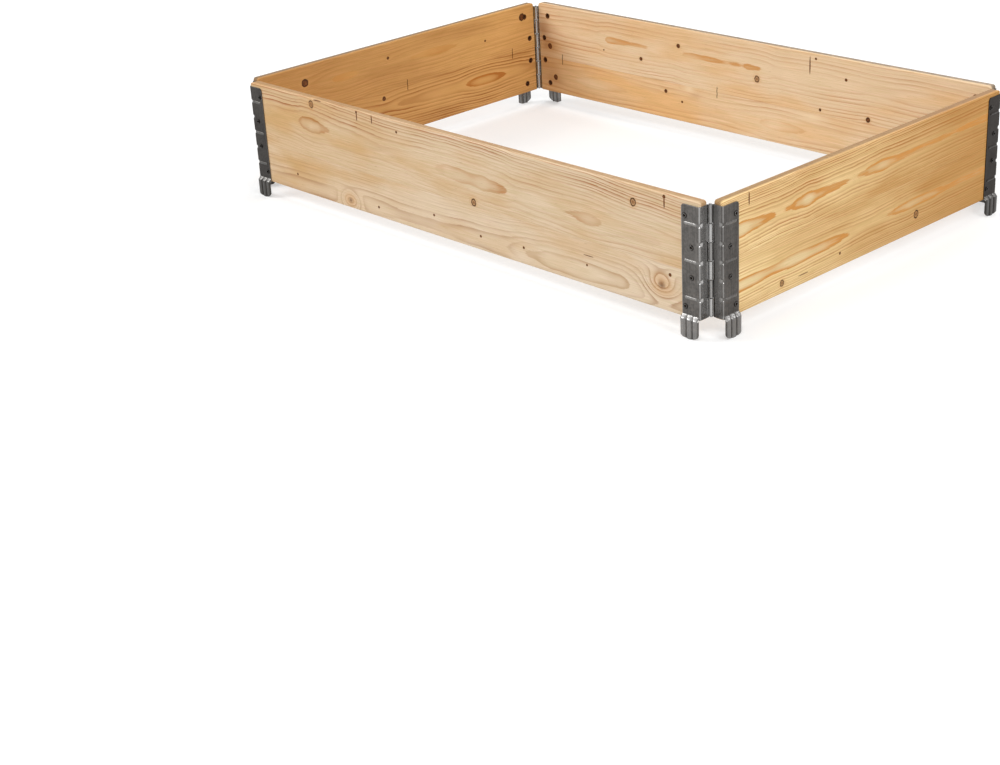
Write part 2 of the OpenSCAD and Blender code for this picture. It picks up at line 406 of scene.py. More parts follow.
def node_with(tree, kind, inputs, **settings):
    """A new node with its settings, each input either linked from a socket or set to a value."""
    made = tree.nodes.new(kind)
    for name, value in settings.items():
        setattr(made, name, value)
    for name, value in inputs.items():
        if isinstance(value, bpy.types.NodeSocket):
            tree.links.new(value, made.inputs[name])
        else:
            made.inputs[name].default_value = value
    return made


def sums(tree, operation, first, second=0.0, third=0.0, clamp=False):
    """Output of a Math node."""
    inputs = {0: first, 1: second, 2: third}
    made = node_with(tree, "ShaderNodeMath", inputs, operation=operation, use_clamp=clamp)
    return made.outputs[0]


def times(tree, first, second, clamp=False):
    """The product of two values, kept within 0 to 1 if it is clamped."""
    return sums(tree, "MULTIPLY", first, second, clamp=clamp)


def plus(tree, value, share, base):
    """A base plus a share of a value."""
    return sums(tree, "MULTIPLY_ADD", value, share, base)


def shaken(tree, base, wave, reach):
    """A base moved up or down by a noise: the noise less its middle of a half, times the reach."""
    return plus(tree, sums(tree, "SUBTRACT", wave, 0.5), reach, base)


def vectors(tree, operation, first, second=(0.0, 0.0, 0.0)):
    """A Vector Math node."""
    return node_with(tree, "ShaderNodeVectorMath", {0: first, 1: second}, operation=operation)


def spread(tree, value, from_low, from_high, to_low=0.0, to_high=1.0, smooth=True):
    """Output of a clamped Map Range node."""
    names = ("Value", "From Min", "From Max", "To Min", "To Max")
    inputs = dict(zip(names, (value, from_low, from_high, to_low, to_high)))
    kind = "SMOOTHSTEP" if smooth else "LINEAR"
    return node_with(tree, "ShaderNodeMapRange", inputs, interpolation_type=kind).outputs["Result"]


def mixed(tree, factor, first, second, blend="MIX"):
    """Colour output of a Mix node."""
    inputs = {0: factor, 6: first, 7: second}
    return node_with(tree, "ShaderNodeMix", inputs, data_type="RGBA", blend_type=blend).outputs[2]


def noise(tree, vector, stretch, detail=3.0, roughness=0.5):
    """Noise of a vector after each of its parts is multiplied by its stretch."""
    scaled = vectors(tree, "MULTIPLY", vector, stretch).outputs[0]
    inputs = {"Vector": scaled, "Scale": 1.0, "Detail": detail, "Roughness": roughness}
    return node_with(tree, "ShaderNodeTexNoise", inputs).outputs["Fac"]


def ramp(tree, factor, stops):
    """Value of a Color Ramp with grey stops of (place, level)."""
    made = node_with(tree, "ShaderNodeValToRGB", {"Fac": factor})
    elements = made.color_ramp.elements
    elements[0].position = stops[0][0]
    elements[1].position = stops[-1][0]
    for place, _ in stops[1:-1]:
        elements.new(place)
    for element, (_, level) in zip(elements, stops):
        element.color = (level, level, level, 1.0)
    return made.outputs["Color"]


def field(tree, name, output):
    """Output of an Attribute node that reads one of the piece's own fields."""
    return node_with(tree, "ShaderNodeAttribute", {}, attribute_name=name).outputs[output]


def parts_of(tree, vector):
    """The three parts of a vector."""
    made = node_with(tree, "ShaderNodeSeparateXYZ", {"Vector": vector})
    return made.outputs[0], made.outputs[1], made.outputs[2]


def srgb(red, green, blue):
    """A colour written in 0 to 255 as the linear colour that a shader takes."""
    levels = np.array([red, green, blue]) / 255
    linear = np.where(levels <= 0.04045, levels / 12.92, ((levels + 0.055) / 1.055) ** 2.4)
    return (*linear.tolist(), 1.0)


def new_finish(name):
    """A material with one Principled shader, its node tree and that shader."""
    finish = bpy.data.materials.new(name)
    finish.use_nodes = True
    shader = finish.node_tree.nodes["Principled BSDF"]
    return finish, finish.node_tree, shader


def dress(tree, shader, colour, rough, height, strength, distance):
    """Gives a shader its colour, its roughness and a bump of the given height."""
    bump = node_with(tree, "ShaderNodeBump", {"Strength": strength, "Distance": distance, "Height": height})
    tree.links.new(colour, shader.inputs["Base Color"])
    tree.links.new(rough, shader.inputs["Roughness"])
    tree.links.new(bump.outputs["Normal"], shader.inputs["Normal"])


# Pine

KNOT_PALE = srgb(206, 152, 92)
KNOT_RED = srgb(126, 74, 34)
KNOT_DARK = srgb(58, 31, 14)
# Brown of smudges, and of the painted shade and warm bounce light in the back-left corner
CORNER_SHADE_AND_SMUDGE = srgb(142, 86, 40)
# Waves of each noise in a millimetre along the grain, through the board and up it
FIBRE = (0.014, 0.75, 0.75)
SWAY = (0.011, 0.06, 0.06)
RAGGED = (0.035, 0.8, 0.8)
PATCHES = (0.006, 0.02, 0.02)
BLOTCHES = (0.005, 0.018, 0.018)
FLECKS = (0.06, 1.3, 1.3)
SAW_MARKS = (0.35, 0.02, 0.25)
KNOT_EDGE = (0.3, 0.3, 0.3)
SEED_SHIFT = 37.0
# How far three of the noises move the rings, in millimetres
SWAY_BY = 0.6
RAGGED_BY = 0.5
FIBRE_BY = 1.0
# Radians in a millimetre and reach of the waves that space the outer rings unevenly, and the years it sets in
WIDE_WAVE = (0.57, 0.6)
CLOSE_WAVE = (1.1, 0.28)
UNEVEN_YEARS = (1.2, 4.0)
# A year's luck: late wood is as strong as this share of a random value plus the base
YEAR_LUCK = (0.6, 0.45)
# Ranges: a value's lowest and highest, then the shares that it gives there, where no board has its own
PATCH_RANGE = (0.3, 0.7)
BLOTCH_RANGE = (0.4, 0.7)
FLAME_RANGE = (1.0, 1.15)
PALE_RANGE = (0.9, 1.05)
TINT_RANGE = (0.98, 1.2)
LATE_BY_FIBRE = (0.3, 0.7, 0.6, 1.25)
SHADE_BY_FIBRE = (0.25, 0.75, 0.8, 1.12)
ROUGH_BY_FIBRE = (0.2, 0.8, 0.52, 0.68)
FLECK_SHARE = (0.64, 0.74, 0.0, 0.3)
STAIN_AND_SHADE_BY_PATCH = (0.25, 0.6, 0.5, 1.0)
# Ranges over the distance from a knot's middle, in its own radii
SWIRL_REACH = (1.0, 3.6, 1.4, 0.0)
KNOT_INSIDE = (0.94, 1.14, 1.0, 0.0)
KNOT_OPEN = (0.1, 0.8, 0.75, 0.0)
KNOT_HALO = (0.9, 2.4, 0.35, 0.0)
KNOT_OUTLINE = (0.6, 0.8)
# How far noise moves that distance, the radians of the knot's rings in a radius, the range of their sine,
# and the shares of the rings' fill and of dark patches in the core, from those rings and from the noise
KNOT_RAGGED_BY = 0.45
KNOT_RINGS = 17.0
KNOT_RING_RANGE = (-0.8, 0.9)
KNOT_FILL = 0.6
CORE_BY_RING = 0.4
CORE_BY_EDGE = (0.35, 0.62, 0.0, 0.55)
# Heights of the fibres, late wood and saw marks in the bump, and its strength and depth in metres
FIBRE_RELIEF = 0.5
LATE_RELIEF = 0.35
SAW_RELIEF = 1.5
PINE_BUMP = (0.22, 0.0006)
PINE_SPECULAR = 0.18


def ring_years(tree, board, place, fibre):
    """Years along the ring field, which noises and two waves move so that the rings lie unevenly."""
    ring = shaken(tree, field(tree, "ring", "Fac"), noise(tree, place, SWAY, detail=2.0), SWAY_BY)
    wide_rate, wide_reach = WIDE_WAVE
    close_rate, close_reach = CLOSE_WAVE
    wide = sums(tree, "SINE", plus(tree, ring, wide_rate, board["seed"]))
    close = sums(tree, "SINE", plus(tree, ring, close_rate, 2.0 * board["seed"]))
    uneven = plus(tree, wide, wide_reach, times(tree, close, close_reach))
    first, last = (years * board["spacing"] for years in UNEVEN_YEARS)
    ring = plus(tree, uneven, spread(tree, ring, first, last), ring)
    ring = shaken(tree, ring, noise(tree, place, RAGGED, detail=2.0), RAGGED_BY)
    ring = shaken(tree, ring, fibre, FIBRE_BY)
    return sums(tree, "DIVIDE", ring, board["spacing"])


def late_wood(tree, board, year, height, fibre, patchy, rim, knot):
    """Share of late wood: a band at the end of each year, as strong as luck, patch, fibre and height make it.

    It is stronger round a closed flame and round a soft knot, whose rim is negative.
    """
    start = board["late_from"]
    stops = [(0.0, 0.2), (0.05, 0.0), (start - 0.25, 0.05), (start, 0.45)]
    stops += [(start + 0.18, 1.0), (0.97, 1.0), (1.0, 0.2)]
    band = ramp(tree, sums(tree, "FRACT", year), stops)
    whole_year = sums(tree, "FLOOR", year)
    luck = node_with(tree, "ShaderNodeTexWhiteNoise", {"W": whole_year}, noise_dimensions="1D")
    strength = plus(tree, luck.outputs["Value"], *YEAR_LUCK)
    shares = (
        spread(tree, patchy, *PATCH_RANGE, *board["patchy"]),
        spread(tree, fibre, *LATE_BY_FIBRE),
        spread(tree, height, *board["bold"]),
        spread(tree, year, *FLAME_RANGE, board["flare"], 1.0),
    )
    for share in shares:
        strength = times(tree, strength, share)
    swirling = times(tree, times(tree, rim, -1.0, clamp=True), spread(tree, knot, *SWIRL_REACH))
    strength = plus(tree, strength, swirling, strength)
    return times(tree, times(tree, band, strength), board["contrast"], clamp=True)


def knotted(tree, colour, place, knot, solid, rim):
    """The colour with knots over it: a pale halo, rings, a dark core and an outline, as the grade asks."""
    ragged_edge = noise(tree, place, KNOT_EDGE, detail=2.0)
    brown = sums(tree, "ABSOLUTE", rim)
    knot = shaken(tree, knot, ragged_edge, KNOT_RAGGED_BY)
    inside = spread(tree, knot, *KNOT_INSIDE)
    colour = mixed(tree, times(tree, spread(tree, knot, *KNOT_HALO), brown), colour, KNOT_PALE)
    knot_ring = spread(tree, sums(tree, "SINE", times(tree, knot, KNOT_RINGS)), *KNOT_RING_RANGE)
    fill = times(tree, inside, times(tree, sums(tree, "MAXIMUM", rim, 0.0), KNOT_FILL))
    colour = mixed(tree, fill, colour, mixed(tree, knot_ring, KNOT_PALE, KNOT_RED))
    patch = plus(tree, knot_ring, CORE_BY_RING, spread(tree, ragged_edge, *CORE_BY_EDGE))
    core = mixed(tree, patch, KNOT_RED, KNOT_DARK)
    open_share = times(tree, spread(tree, knot, *KNOT_OPEN), brown)
    core_share = times(tree, inside, sums(tree, "MAXIMUM", solid, open_share))
    colour = mixed(tree, core_share, colour, core)
    outline = times(tree, spread(tree, knot, *KNOT_OUTLINE), inside)
    return mixed(tree, times(tree, outline, rim), colour, KNOT_DARK)


def pine(name, board):
    """Planed pine: ring field rings, fibres along the grain, smudges and painted shade, sawn edges and knots.
    """
    finish, tree, shader = new_finish(name)
    raw_place = field(tree, "place", "Vector")
    along, depth, height = parts_of(tree, raw_place)
    place = vectors(tree, "ADD", raw_place, [board["seed"] * SEED_SHIFT] * 3).outputs[0]
    solid, rim, sawn = parts_of(tree, field(tree, "grade", "Vector"))
    knot = vectors(tree, "LENGTH", field(tree, "knot", "Vector")).outputs["Value"]
    fibre = noise(tree, place, FIBRE, detail=5.0, roughness=0.65)
    patchy = noise(tree, place, PATCHES, detail=2.0)
    year = ring_years(tree, board, place, fibre)
    late_share = late_wood(tree, board, year, height, fibre, patchy, rim, knot)

    blotches = spread(tree, noise(tree, place, BLOTCHES), *BLOTCH_RANGE, 0.0, board["blotch"])
    warm_share = sums(tree, "ADD", blotches, spread(tree, along, *board["warmth"]), clamp=True)
    colour = mixed(tree, warm_share, board["early"], board["warm"])
    pale_share = spread(tree, year, *PALE_RANGE, board["pale_share"], 0.0)
    colour = mixed(tree, pale_share, colour, board["pale"])
    late = mixed(tree, spread(tree, year, *TINT_RANGE), board["flame"], board["late"])
    colour = mixed(tree, late_share, colour, late)
    shade = spread(tree, fibre, *SHADE_BY_FIBRE, smooth=False)
    grey = node_with(tree, "ShaderNodeCombineColor", {0: shade, 1: shade, 2: times(tree, shade, shade)})
    colour = mixed(tree, 1.0, colour, grey.outputs[0], "MULTIPLY")
    flecks = spread(tree, noise(tree, place, FLECKS, detail=2.0), *FLECK_SHARE)
    colour = mixed(tree, flecks, colour, KNOT_RED)

    stain_and_shade = times(tree, field(tree, "stain_and_shade", "Fac"), spread(tree, patchy, *STAIN_AND_SHADE_BY_PATCH))
    colour = mixed(tree, times(tree, stain_and_shade, 1.0, clamp=True), colour, CORNER_SHADE_AND_SMUDGE)
    colour = mixed(tree, times(tree, stain_and_shade, -1.0, clamp=True), colour, board["pale"])
    saw_marks = noise(tree, place, SAW_MARKS, roughness=0.7)
    dull = times(tree, sawn, spread(tree, saw_marks, *PATCH_RANGE, *board["sawn"]))
    dull = times(tree, dull, spread(tree, depth, *board["sawn_depth"]))
    colour = mixed(tree, dull, colour, board["edge"])
    colour = knotted(tree, colour, place, knot, solid, rim)

    relief = plus(tree, fibre, FIBRE_RELIEF, times(tree, late_share, LATE_RELIEF))
    relief = plus(tree, times(tree, saw_marks, sawn), SAW_RELIEF, relief)
    rough = spread(tree, fibre, *ROUGH_BY_FIBRE, smooth=False)
    dress(tree, shader, colour, rough, relief, *PINE_BUMP)
    shader.inputs["Specular IOR Level"].default_value = PINE_SPECULAR
    return finish


# Steel

# Dark of grime and of painted shade, mixed into the steel where the wear field is negative
GRIME_AND_PAINTED_SHADE = srgb(34, 26, 20)
# Flakes, streaks and smears in a metre, and their shares in the level that sets the tint and roughness
FLAKES = 320.0
STREAKS = (700.0, 700.0, 16.0)
SMEARS = (30.0, 30.0, 18.0)
FLAKE_SHARE = 0.14
STREAK_SHARE = 0.5
SMEAR_SHARE = 0.5
STEEL_TINT = (0.35, 0.8)
STEEL_ROUGH = (0.3, 0.85)
RUB_BY_STREAK = (0.25, 0.6, 0.6, 1.0)
RUB_POLISH = -0.08
STEEL_BUMP = (0.08, 0.0004)


def steel(name, dark, light, wear_and_painted_light, smoothest, roughest):
    """Galvanised or bare steel: faint crystal flakes, rolling streaks, worn ridges and grimy hollows,
    with painted highlights on the ridges and painted shade in the hollows.
    """
    finish, tree, shader = new_finish(name)
    place = node_with(tree, "ShaderNodeTexCoord", {}).outputs["Object"]
    cells = {"Vector": place, "Scale": FLAKES, "Randomness": 1.0}
    flake, _, _ = parts_of(tree, node_with(tree, "ShaderNodeTexVoronoi", cells).outputs["Color"])
    streak = noise(tree, place, STREAKS)
    smear = noise(tree, place, SMEARS)
    level = plus(tree, flake, FLAKE_SHARE, times(tree, streak, STREAK_SHARE))
    level = plus(tree, smear, SMEAR_SHARE, level)
    colour = mixed(tree, spread(tree, level, *STEEL_TINT), srgb(*dark), srgb(*light))
    wear_and_light = field(tree, "wear_and_painted_light", "Fac")
    rubbed_and_highlit = times(tree, wear_and_light, spread(tree, streak, *RUB_BY_STREAK), clamp=True)
    colour = mixed(tree, rubbed_and_highlit, colour, srgb(*wear_and_painted_light))
    colour = mixed(tree, times(tree, wear_and_light, -1.0, clamp=True), colour, GRIME_AND_PAINTED_SHADE)
    rough = plus(tree, rubbed_and_highlit, RUB_POLISH, spread(tree, level, *STEEL_ROUGH, roughest, smoothest))
    dress(tree, shader, colour, rough, level, *STEEL_BUMP)
    shader.inputs["Metallic"].default_value = 1.0
    return finish


# Each steel has its dark, light and worn colour and its least and most roughness; the worn colour also shows
# painted highlights. The second galvanised sheet and rivet steel are darker copies for the leaves at the
# front-left and back-right corners: painted shade and painted dark reflection.
GALVANISED = steel("galvanised_sheet", (78, 76, 74), (110, 107, 104), (178, 177, 176), 0.26, 0.38)
SHADED_GALVANISED = steel("galvanised_sheet_painted_shade", (46, 43, 41), (67, 64, 61), (125, 124, 122), 0.28, 0.4)
RIVET_STEEL = steel("rivet_steel", (40, 38, 37), (70, 68, 66), (130, 130, 128), 0.2, 0.32)
SHADED_RIVET_STEEL = steel("rivet_steel_painted_shade", (22, 20, 19), (40, 38, 36), (80, 79, 77), 0.26, 0.38)
PIN_STEEL = steel("pin_steel", (110, 110, 110), (150, 150, 150), (190, 190, 190), 0.25, 0.38)
STRIP_STEEL = steel("strip_steel", (34, 22, 13), (60, 42, 26), (90, 80, 68), 0.4, 0.6)


# Wood of each board

# A knot is its place u and z, half length, half height, the darkness of its core, the brown of its rim,
# which is negative for a soft knot, and how far it swells the rings round it.


def ringed(u, z, r):
    """A live knot: a brown middle, pale wood round it and a dark outline."""
    return (u, z, r, r * 1.15, 0.0, 0.95, 1.2)


def dark_knot(u, z, r):
    """A dark red-brown knot."""
    return (u, z, r, r, 1.0, 0.7, 1.6)


def swirl(u, z, r):
    """A soft brown knot in the middle of wide rings."""
    return (u, z, r, r * 0.85, 0.0, -0.9, 22.0)


def dot(u, z, r=2.4):
    """A pin knot."""
    return (u, z, r, r, 1.0, 0.25, 0.0)


def crack(u, z, length):
    """A thin upright split."""
    return (u, z, 1.4, length / 2, 1.0, 0.0, 0.0)


def dash(u, z, length):
    """A thin dark mark along the grain."""
    return (u, z, length / 2, 0.8, 0.95, 0.0, 0.0)


# What the boards of all sides, of one side and each board alone have. The tones are "early" and "late" wood,
# "warm" patches, the "pale" middle and the late wood of a "flame", and the sawn "edge".
# "spacing" is the width of a year, "late_from" the part of a year where late wood starts, "contrast" how
# boldly it shows, "flare" how much more so in a flame, and "patchy" its least and most share from patch to
# patch. "blotch" and "pale_share" are the most that warm patches and the flames' pale middle show. "axis" is
# the height of the figure's axis at the left and right end, "heart" how far the tree's heart lies behind the
# outer face, or behind the inner face where it is negative, and "wander" how far the rings waver. "flames"
# gives the year on that axis at places along the board: a dip below 1 leaves a closed flame.
# "bold", "warmth" and "sawn_depth" run from one place to another and from one share to another: of late wood
# up the board, of warm tone along it, and of sawn colour through it. On the right boards the warm tone
# towards the back end is painted shade, and on the back boards the warm tone towards the back-left corner is
# painted shade and warm bounce light. "sawn" is that colour's least and most share over the saw marks. A
# stain is its place u and z, its reach both ways and its share, which is negative where it is pale; the
# stains by the back-left corner are painted shade.
PLAIN_WOOD = {"wander": 0.0014, "patchy": (0.3, 1.4), "blotch": 0.6, "stains_and_shade": ()}
SIDE_WOOD = {
    "front": {
        "early": srgb(222, 198, 168), "late": srgb(166, 102, 56), "warm": srgb(208, 168, 118),
        "pale": srgb(228, 206, 176), "flame": srgb(180, 124, 70), "edge": srgb(157, 122, 82),
        "pale_share": 0.3, "spacing": 4.2, "late_from": 0.7,
        "sawn": (0.6, 0.9), "sawn_depth": (3, 7, 0.1, 1.0),
    },
    "right": {
        "early": srgb(247, 218, 164), "late": srgb(176, 113, 54), "warm": srgb(198, 150, 88),
        "pale": srgb(228, 206, 164), "flame": srgb(206, 143, 72), "edge": srgb(130, 98, 63),
        # The warmth towards the back end, at u = 375, is painted shade where the light falls off; the
        # blotches are the wood's own
        "patchy": (0.6, 1.0), "blotch": 0.35, "flare": 2.0, "warmth": (-375, 375, 0.0, 1.0),
        "sawn": (0.6, 0.95), "sawn_depth": (3, 7, 0.1, 1.0),
    },
    "back": {
        "early": srgb(230, 202, 168), "late": srgb(180, 108, 56), "warm": srgb(226, 180, 126),
        "pale": srgb(240, 216, 180), "flame": srgb(206, 150, 92), "edge": srgb(124, 108, 90),
        "pale_share": 0.4, "sawn": (0.7, 1.0), "sawn_depth": (10, 14, 1.0, 0.1),
    },
    # The left boards' tones are darker and more orange than the other sides': painted shade and warm bounce
    # light inside
    "left": {
        "early": srgb(217, 165, 102), "late": srgb(150, 88, 38), "warm": srgb(188, 137, 81),
        "pale": srgb(222, 172, 104), "flame": srgb(180, 112, 50), "edge": srgb(124, 104, 80),
        "pale_share": 0.6, "flare": 1.6, "sawn": (0.7, 1.0), "sawn_depth": (10, 14, 1.0, 0.1),
    },
}
BOARD_WOOD = {
    "front_upper": {
        "flare": 2.6, "contrast": 0.75, "axis": (149, 108), "heart": 48, "seed": 3,
        "bold": (130, 180, 0.4, 1.35), "warmth": (-574, 150, 0.5, 0.0),
        "flames": [
            (-574, 1.9), (-480, 1.4), (-445, 1.15), (-431, 0.95), (-412, 0.55), (-390, 0.4), (-372, 0.55),
            (-358, 0.8), (-340, 0.92), (-326, 1.1), (-295, 1.4), (-150, 1.75), (-45, 1.1), (-25, 0.9),
            (0, 0.6), (30, 0.45), (60, 0.62), (85, 0.5), (110, 0.75), (135, 0.95), (165, 1.4), (230, 1.2),
            (325, 0.7), (430, 1.7), (574, 2.2),
        ],
        "knots": [
            ringed(-384, 184, 6.5), ringed(59, 85, 6), ringed(437, 167, 6), dot(-138, 175),
            dot(-249, 192, 2.5), crack(-249, 184, 16), crack(-206, 186, 16), dot(503, 190, 3),
            crack(503, 181, 20), dash(-366, 194, 26),
        ],
    },
    "front_lower": {
        "early": srgb(228, 206, 180), "late": srgb(158, 106, 66), "flame": srgb(172, 128, 84),
        "flare": 1.3, "contrast": 0.6, "axis": (14, 26), "heart": 44, "seed": 8,
        "bold": (20, 78, 0.8, 0.45), "warmth": (-574, 150, 0.45, 0.0),
        "flames": [
            (-574, 2.6), (-289, 2.2), (-50, 2.8), (60, 2.3), (133, 1.95), (200, 0.95), (250, 0.3),
            (330, 0.15), (400, 0.6), (440, 1.1), (495, 1.6), (574, 2.0),
        ],
        "knots": [
            swirl(-289, 15, 10), swirl(495, 41, 14), dot(-449, 34), dot(-206, 19), dot(-50, 38), dot(72, 26),
            dot(180, 30), dot(330, 35, 2), dot(513, 63, 3), dash(334, 52, 22),
        ],
    },
    "right_upper": {
        "pale_share": 0.7, "spacing": 2.4, "contrast": 1.0, "wander": 0.0006, "axis": (137, 156),
        "late_from": 0.58, "heart": 44, "seed": 5, "bold": (150, 180, 0.85, 1.2),
        "flames": [
            (-375, 0.1), (-335, 0.15), (-295, 0.6), (-262, 0.8), (-240, 1.05), (-213, 0.9), (-190, 0.5),
            (-165, 0.2), (-140, 0.55), (-105, 0.75), (-72, 0.95), (-50, 1.08), (-25, 0.95), (0, 0.6),
            (30, 0.42), (60, 0.6), (80, 0.72), (120, 0.8), (165, 0.9), (190, 1.0), (230, 0.93), (290, 0.8),
            (340, 0.7), (375, 0.66),
        ],
        "knots": [crack(-313, 184, 22)],
    },
    "right_lower": {
        "pale_share": 0.6, "spacing": 2.3, "contrast": 0.9, "wander": 0.0008, "axis": (45, 60),
        "late_from": 0.6, "heart": 38, "seed": 11, "bold": (20, 97, 1.0, 0.8),
        "flames": [
            (-375, 0.3), (-290, 0.35), (-253, 0.5), (-200, 0.2), (-140, 0.45), (-95, 0.7), (-60, 0.85),
            (-42, 1.05), (0, 1.2), (40, 1.15), (57, 1.0), (80, 0.7), (120, 0.5), (180, 0.6), (260, 0.72),
            (330, 0.78), (375, 0.85),
        ],
        "knots": [ringed(133, 32, 6.5), ringed(-231, 18, 5), dot(-80, 24), dash(-176, 17, 24)],
    },
    "back_upper": {
        "flare": 2.2, "spacing": 6.4, "contrast": 0.62, "axis": (146, 142), "late_from": 0.77, "heart": -26,
        # The warmth towards the back-left corner, at u = 574, is painted corner shade and warm bounce light
        "seed": 14, "bold": (100, 180, 1.0, 0.9), "warmth": (300, 574, 0.0, 0.25),
        "flames": [
            (-574, 1.8), (-450, 1.4), (-330, 1.6), (-200, 1.25), (-90, 1.4), (-62, 1.05), (-45, 0.93),
            (-22, 0.91), (-6, 1.03), (15, 0.98), (60, 0.95), (95, 0.9), (125, 0.83), (148, 0.85), (160, 1.02),
            (185, 1.3), (225, 1.2), (258, 0.98), (290, 0.94), (330, 0.84), (362, 0.8), (378, 1.0),
            (400, 1.35), (574, 1.7),
        ],
        # All three stains sit by the back-left corner: painted corner shade with warm bounce light
        "stains_and_shade": [(564, 138, 18, 18, 0.55), (546, 106, 20, 16, 0.45), (562, 84, 50, 24, 0.4)],
        "knots": [
            dark_knot(542, 103, 6), dark_knot(269, 116, 4), dark_knot(164, 159, 4.5), ringed(-44, 123, 6),
            dark_knot(-314, 87, 5), dot(-201, 87, 3), dot(-261, 156, 3), dot(-189, 186), dot(377, 119, 1.8),
            crack(-175, 171, 34),
        ],
    },
    "back_lower": {
        "flare": 1.6, "spacing": 6.0, "contrast": 0.5, "axis": (34, 40), "late_from": 0.74, "heart": -36,
        # The warmth towards the back-left corner, at u = 574, is painted corner shade and warm bounce light
        "seed": 17, "bold": (0, 78, 1.0, 0.8), "warmth": (-300, 574, 0.0, 0.8),
        "flames": [(-574, 2.4), (-300, 1.3), (-100, 0.8), (60, 1.6), (250, 1.1), (420, 0.7), (574, 1.5)],
        # The first two stains, by the back-left corner, are painted corner shade; the others are marks on the
        # wood
        "stains_and_shade": [
            (534, 36, 26, 16, 0.4), (562, 50, 60, 50, 0.4), (119, 62, 16, 8, 0.3), (135, 74, 14, 6, -0.8),
            (-182, 69, 26, 7, -0.8),
        ],
        "knots": [dark_knot(528, 35, 6), dark_knot(200, 58, 4), dot(155, 42, 2.6), dot(-350, 30, 3)],
    },
    "left_upper": {
        "spacing": 4.4, "contrast": 0.4, "axis": (150, 152), "late_from": 0.64, "heart": -32, "seed": 21,
        "bold": (100, 190, 0.9, 0.8), "warmth": (-375, 300, 0.0, 0.9),
        "flames": [
            (-375, 1.6), (-226, 1.3), (-96, 0.8), (-25, 0.9), (60, 1.5), (162, 0.85), (264, 1.6), (375, 1.9),
        ],
        "knots": [dark_knot(264, 161, 8), dark_knot(47, 164, 3.2), dot(-226, 142), dark_knot(-338, 171, 8)],
    },
    "left_lower": {
        "spacing": 4.2, "contrast": 0.8, "axis": (56, 66), "late_from": 0.6, "heart": -26, "seed": 26,
        "bold": (0, 97, 1.0, 0.9), "warmth": (-375, 300, 0.0, 0.85),
        "flames": [
            (-375, 1.6), (-310, 1.2), (-219, 0.45), (-120, 1.3), (0, 1.8), (66, 2.3), (200, 1.2), (300, 0.7),
            (375, 0.5),
        ],
        "knots": [dark_knot(66, 82, 4.5), dot(210, 40)],
    },
}
WANDER_WAVES = (70.0, 125.0, 230.0)
WANDER_TILT = 0.02
# Reach of a knot's swell along and across the grain, in its own half length and half height
SWELL_LONG = 2.8
SWELL_TALL = 1.9
# Core, rim and swell of the knot that stands for a rivet seat: a dark disc of painted shade in the seat hole
SEAT_SHADE_GRADE = (1.0, 0.3, 0.0)


def wood_of(side, level):
    """All that one board's wood has, from the general to its own."""
    return {**PLAIN_WOOD, **SIDE_WOOD[side], **BOARD_WOOD[f"{side}_{level}"]}


def flame_years(flames, u):
    """Year on the figure's axis: runs from each given place to the next along half a cosine wave."""
    places, years = np.array(flames, float).T
    after = np.clip(np.searchsorted(places, u), 1, len(places) - 1)
    before = after - 1
    share = np.clip((u - places[before]) / (places[after] - places[before]), 0.0, 1.0)
    soft = (1 - np.cos(math.pi * share)) / 2
    return years[before] + (years[after] - years[before]) * soft


def growth_field(board, half, u, v, z):
    """How far each point lies out among the tree's rings, counted from the figure's axis on the shown face.

    Away from the axis it grows as the root of depth squared plus height squared. The flames' years move it
    along the board, three small seeded waves make it wander, and it swells round each knot.
    """
    left, right = board["axis"]
    axis = left + (right - left) * (u / half + 1) / 2
    heart = board["heart"]
    depth = v + heart if heart > 0 else BOARD_T - v - heart
    years = flame_years(board["flames"], u)
    rings_out = np.hypot(depth, z - axis) - abs(heart) + board["spacing"] * years
    draw = np.random.default_rng(board["seed"])
    for wave in WANDER_WAVES:
        shift = draw.uniform(0, 2 * math.pi)
        tilt = draw.uniform(-WANDER_TILT, WANDER_TILT)
        rings_out = rings_out + board["wander"] * wave * np.sin(2 * math.pi * u / wave + tilt * z + shift)
    for knot_u, knot_z, long, tall, _, _, swell in board["knots"]:
        far = ((u - knot_u) / (SWELL_LONG * long)) ** 2 + ((z - knot_z) / (SWELL_TALL * tall)) ** 2
        rings_out = rings_out + swell * np.exp(-far)
    return rings_out


def stain_and_shade_field(board, u, z):
    """Soft smudges and painted corner shade, pale where a share is negative: each a bell curve both ways."""
    total = np.zeros_like(u)
    for patch_u, patch_z, long, tall, share in board["stains_and_shade"]:
        total = total + share * np.exp(-(((u - patch_u) / long) ** 2) - ((z - patch_z) / tall) ** 2)
    return total


